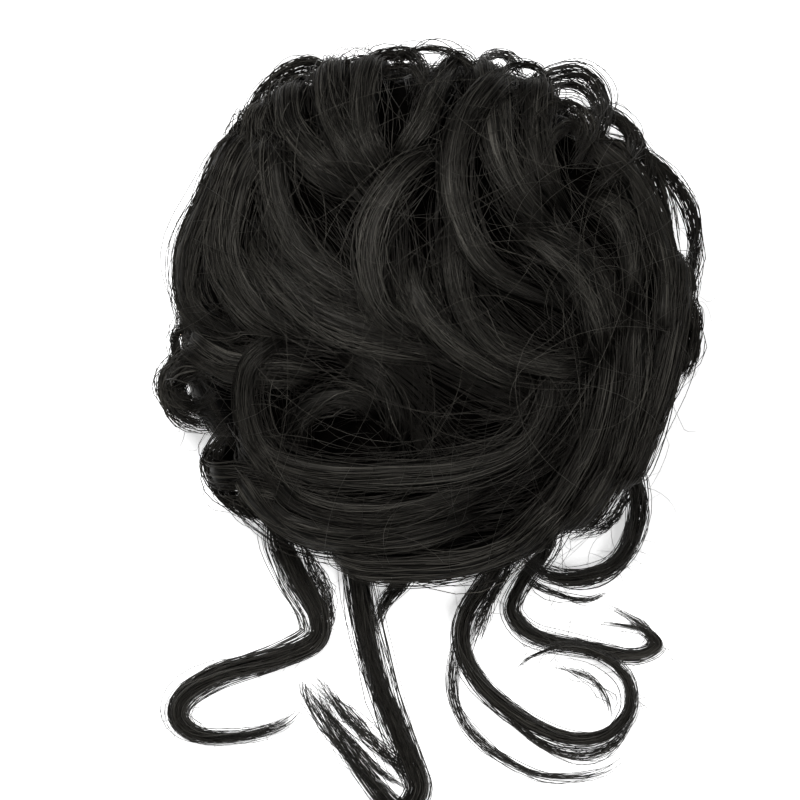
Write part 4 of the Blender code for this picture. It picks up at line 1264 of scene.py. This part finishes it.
def lay_hollow_fibres(rng, count):
    """Fibres wound round the hollow's wall, over the elastic band."""
    share = np.linspace(0.0, 1.0, BACK_STEPS + 1)
    turn = rng.uniform(0.0, FULL_TURN, count)[:, None] + rng.uniform(*BACK_TURN, count)[:, None] * share
    rise = np.broadcast_to(rng.uniform(0.0, HOLLOW_RISE, count)[:, None], turn.shape)
    reach = BAND_RADIUS + (HOLLOW_END_RADIUS - BAND_RADIUS) * rise - BACK_LIFT
    height = HOLLOW_FOOT + (HOLLOW_DEPTH - HOLLOW_FOOT) * rise
    paths = np.stack([reach * np.cos(turn), reach * np.sin(turn), height], axis=-1)
    outward = np.stack([-np.cos(turn), -np.sin(turn), np.zeros(turn.shape)], axis=-1)
    tones = np.broadcast_to(rng.uniform(*HOLLOW_TONES, count)[:, None], reach.shape)
    return paths, outward, tones


class HAIRPIECE_OT_back_hair(bpy.types.Operator):
    """Winds hair round the hollow, on the back and up the hollow's wall"""

    bl_idname = "hairpiece.back_hair"
    bl_label = "Back Hair"

    def execute(self, context):
        sizes, colours, rng = hair_settings(context, "back_hair")
        fibres = Mesh()
        for laid in (lay_back_fibres(rng, round(BACK_FIBRES * sizes.fullness)),
                     lay_hollow_fibres(rng, round(HOLLOW_FIBRES * sizes.fullness))):
            add_fibres(fibres, rng, laid, sizes.fibre_thickness)
        dress(fibres.make("back_hair", fibre_finish(colours)), "hair_bun")
        return {"FINISHED"}


def add_strand(fibres, bodies, rng, strand, sizes):
    """One strand of a tendril: a short body at its root, and two bundles of fibres along the whole of it."""
    half_width = strand.half_width * BUN_RADIUS
    route, along = sample_route(tendril_route(strand), sizes)
    swell = tendril_swell(strand, along)
    route = route + UP * (half_width * swell * TENDRIL_BUNDLE.depth)[:, None]
    outward = np.broadcast_to(UP, route.shape)
    solid = along < TENDRIL_BODY_SHARE
    thinning = at_least(TENDRIL_BODY_TIP, 1.0 - smooth_step(along, TENDRIL_BODY_THINS, TENDRIL_BODY_SHARE))
    body_width = half_width * TENDRIL_BODY_WIDTH * (swell * thinning)
    add_body(bodies, rng, route[solid], along[solid], outward[solid], body_width[solid],
             TENDRIL_BODY_DEPTH, TENDRIL_BODY_SIDES)
    for bundle, spread in ((TENDRIL_BUNDLE, TENDRIL_SPREAD), (SPLIT_BUNDLE, SPLIT_SPREAD)):
        laid = lay_fibres(rng, route, along, outward, half_width * spread, swell, bundle, sizes.fullness)
        add_fibres(fibres, rng, laid, sizes.fibre_thickness)


class HAIRPIECE_OT_tendrils(bpy.types.Operator):
    """Lays the loose tendrils and the side loop"""

    bl_idname = "hairpiece.tendrils"
    bl_label = "Tendrils"

    def execute(self, context):
        for number, tendril in enumerate((*TENDRILS, SIDE_LOOP)):
            sizes, colours, rng = hair_settings(context, "tendrils", number)
            fibres = Mesh()
            bodies = Mesh()
            add_strand(fibres, bodies, rng, tendril, sizes)
            if tendril is MIDDLE_TENDRIL:
                add_strand(fibres, bodies, rng, MIDDLE_BRANCH, sizes)
            dress(fibres.make(tendril.name + "_fibres", fibre_finish(colours)), tendril.name)
            dress(bodies.make(tendril.name + "_core", body_finish(colours)), tendril.name)
        return {"FINISHED"}


def elastic_material(colours):
    """Knitted elastic: matte yarn with fine ribs across the band."""
    material, nodes, links, shader = new_material("knitted_elastic")
    noise = grain_noise(nodes, links, ELASTIC_GRAIN)
    dark, light = (tuple(shade * value for value in colours.elastic) for shade in ELASTIC_SHADES)
    links.new(colour_ramp(nodes, links, noise, dark, light), shader.inputs["Base Color"])
    links.new(bumped(nodes, links, noise, ELASTIC_BUMP), shader.inputs["Normal"])
    shader.inputs["Roughness"].default_value = ELASTIC_ROUGHNESS
    return material


class HAIRPIECE_OT_elastic_band(bpy.types.Operator):
    """Makes the ribbed elastic band that grips the wearer's own knot of hair"""

    bl_idname = "hairpiece.elastic_band"
    bl_label = "Elastic Band"

    def execute(self, context):
        around = np.linspace(0.0, FULL_TURN, BAND_RIBS * RIB_STEPS, endpoint=False)
        section = np.linspace(0.0, FULL_TURN, BAND_SIDES, endpoint=False)
        ribs = 1.0 - RIB_DEPTH + RIB_DEPTH * np.cos(around * BAND_RIBS)
        thickness = 0.5 * BAND_THICKNESS * ribs[:, None]
        reach = BAND_RADIUS + thickness * np.cos(section)[None]
        height = BAND_HEIGHT + thickness * np.sin(section)[None]
        x = reach * np.cos(around)[:, None]
        y = reach * np.sin(around)[:, None]
        vertices = np.stack([x, y, height], axis=-1)
        number = np.arange(x.size).reshape(x.shape)
        ahead = np.roll(number, -1, axis=0)
        faces = np.stack([number, ahead, np.roll(ahead, -1, axis=1), np.roll(number, -1, axis=1)], axis=-1)
        grain = np.empty((*number.shape, 2))
        grain[..., 0] = section[None] / FULL_TURN
        grain[..., 1] = around[:, None] / FULL_TURN
        mesh = Mesh()
        mesh.add(vertices, [faces.reshape(-1, 4)], grain)
        finish = elastic_material(context.scene.hairpiece_colours)
        dress(mesh.make("ribbed_band", finish), "elastic_band", slot="elastic")
        return {"FINISHED"}


def floor_material(colours):
    """A plain pale floor that glows a little, as a lit white table does."""
    material, _, _, shader = new_material("studio_floor")
    shader.inputs["Base Color"].default_value = (*colours.floor, 1.0)
    shader.inputs["Roughness"].default_value = FLOOR_ROUGHNESS
    shader.inputs["Specular IOR Level"].default_value = 0.0
    shader.inputs["Emission Color"].default_value = (*WHITE, 1.0)
    shader.inputs["Emission Strength"].default_value = FLOOR_GLOW
    return material


def add_softbox(softbox):
    """A square soft light that faces the bun."""
    light = bpy.data.lights.new(softbox.name, "AREA")
    light.shape = "SQUARE"
    light.size = softbox.size
    light.energy = softbox.watts
    lamp = bpy.data.objects.new(softbox.name, light)
    lamp.location = softbox.place
    back = np.array(softbox.place) - np.array(SOFTBOX_AIM)
    tilt = math.acos(back[2] / np.linalg.norm(back))
    lamp.rotation_euler = (tilt, 0.0, math.atan2(back[1], back[0]) + math.pi / 2)
    bpy.context.scene.collection.objects.link(lamp)


class HAIRPIECE_OT_stage(bpy.types.Operator):
    """Sets the pale floor, the soft lights and the camera above the hairpiece"""

    bl_idname = "hairpiece.stage"
    bl_label = "Studio Stage"

    def execute(self, context):
        colours = context.scene.hairpiece_colours
        bpy.ops.mesh.primitive_plane_add(size=FLOOR_SIDE, location=(0.0, 0.0, 0.0))
        floor = context.object
        floor.name = "studio_floor"
        floor.data.materials.append(floor_material(colours))
        self.light(context)
        self.shoot(context)
        return {"FINISHED"}

    def light(self, context):
        """A large key from above, a weaker one from the crown's side, and a dim sky."""
        for softbox in SOFTBOXES:
            add_softbox(softbox)
        world = bpy.data.worlds.new("studio")
        world.use_nodes = True
        nodes = world.node_tree.nodes
        links = world.node_tree.links
        rays = nodes.new("ShaderNodeLightPath")
        brightness = mapped(nodes, links, rays.outputs["Is Camera Ray"], SKY_LIGHT, SKY_SEEN)
        links.new(brightness, nodes["Background"].inputs["Strength"])
        nodes["Background"].inputs["Color"].default_value = (*WHITE, 1.0)
        context.scene.world = world
        context.scene.view_settings.view_transform = "Standard"

    def shoot(self, context):
        """The camera looks straight down, framed as the photograph is."""
        camera = bpy.data.cameras.new("camera")
        camera.lens = LENS
        camera.sensor_width = SENSOR
        plane = WIDEST_HEIGHT / 2
        width = PHOTO_SIDE * PIXEL
        eye = bpy.data.objects.new("camera", camera)
        eye.location = (
            BUN_MIDDLE_X + (PHOTO_SIDE / 2 - BUN_MIDDLE_PIXEL[0]) * PIXEL,
            BUN_MIDDLE_Y + (BUN_MIDDLE_PIXEL[1] - PHOTO_SIDE / 2) * PIXEL,
            plane + width * LENS / SENSOR)
        camera.clip_end = FARTHEST_SEEN
        context.scene.collection.objects.link(eye)
        context.scene.camera = eye


class HAIRPIECE_PT_panel(bpy.types.Panel):
    """Lists the hairpiece's sizes, colours and pieces"""

    bl_idname = "HAIRPIECE_PT_panel"
    bl_label = "Scrunchie Bun Hairpiece"
    bl_space_type = "VIEW_3D"
    bl_region_type = "UI"
    bl_category = "Hairpiece"

    def draw(self, context):
        layout = self.layout
        for settings in (context.scene.hairpiece_sizes, context.scene.hairpiece_colours):
            box = layout.box()
            for name in settings.__annotations__:
                box.prop(settings, name)
        for operator in OPERATORS:
            layout.operator(operator.bl_idname)


OPERATORS = (
    HAIRPIECE_OT_stage,
    HAIRPIECE_OT_packed_hair,
    HAIRPIECE_OT_undercoat,
    HAIRPIECE_OT_heaped_locks,
    HAIRPIECE_OT_flank_locks,
    HAIRPIECE_OT_edge_loops,
    HAIRPIECE_OT_loose_hairs,
    HAIRPIECE_OT_tendrils,
    HAIRPIECE_OT_elastic_band,
    HAIRPIECE_OT_back_hair,
)
CLASSES = (HairpieceSizes, HairpieceColours, *OPERATORS, HAIRPIECE_PT_panel)


def register():
    """Makes the sizes, colours, operators and panel known."""
    for item in CLASSES:
        bpy.utils.register_class(item)
    bpy.types.Scene.hairpiece_sizes = bpy.props.PointerProperty(type=HairpieceSizes)
    bpy.types.Scene.hairpiece_colours = bpy.props.PointerProperty(type=HairpieceColours)


def unregister():
    """Takes them away again."""
    del bpy.types.Scene.hairpiece_colours
    del bpy.types.Scene.hairpiece_sizes
    for item in reversed(CLASSES):
        bpy.utils.unregister_class(item)


def main():
    """Makes the whole scene."""
    register()
    bpy.ops.hairpiece.stage()
    bpy.ops.hairpiece.packed_hair()
    bpy.ops.hairpiece.undercoat()
    bpy.ops.hairpiece.heaped_locks()
    bpy.ops.hairpiece.flank_locks()
    bpy.ops.hairpiece.edge_loops()
    bpy.ops.hairpiece.loose_hairs()
    bpy.ops.hairpiece.tendrils()
    bpy.ops.hairpiece.elastic_band()
    bpy.ops.hairpiece.back_hair()


if __name__ == "__main__":
    main()
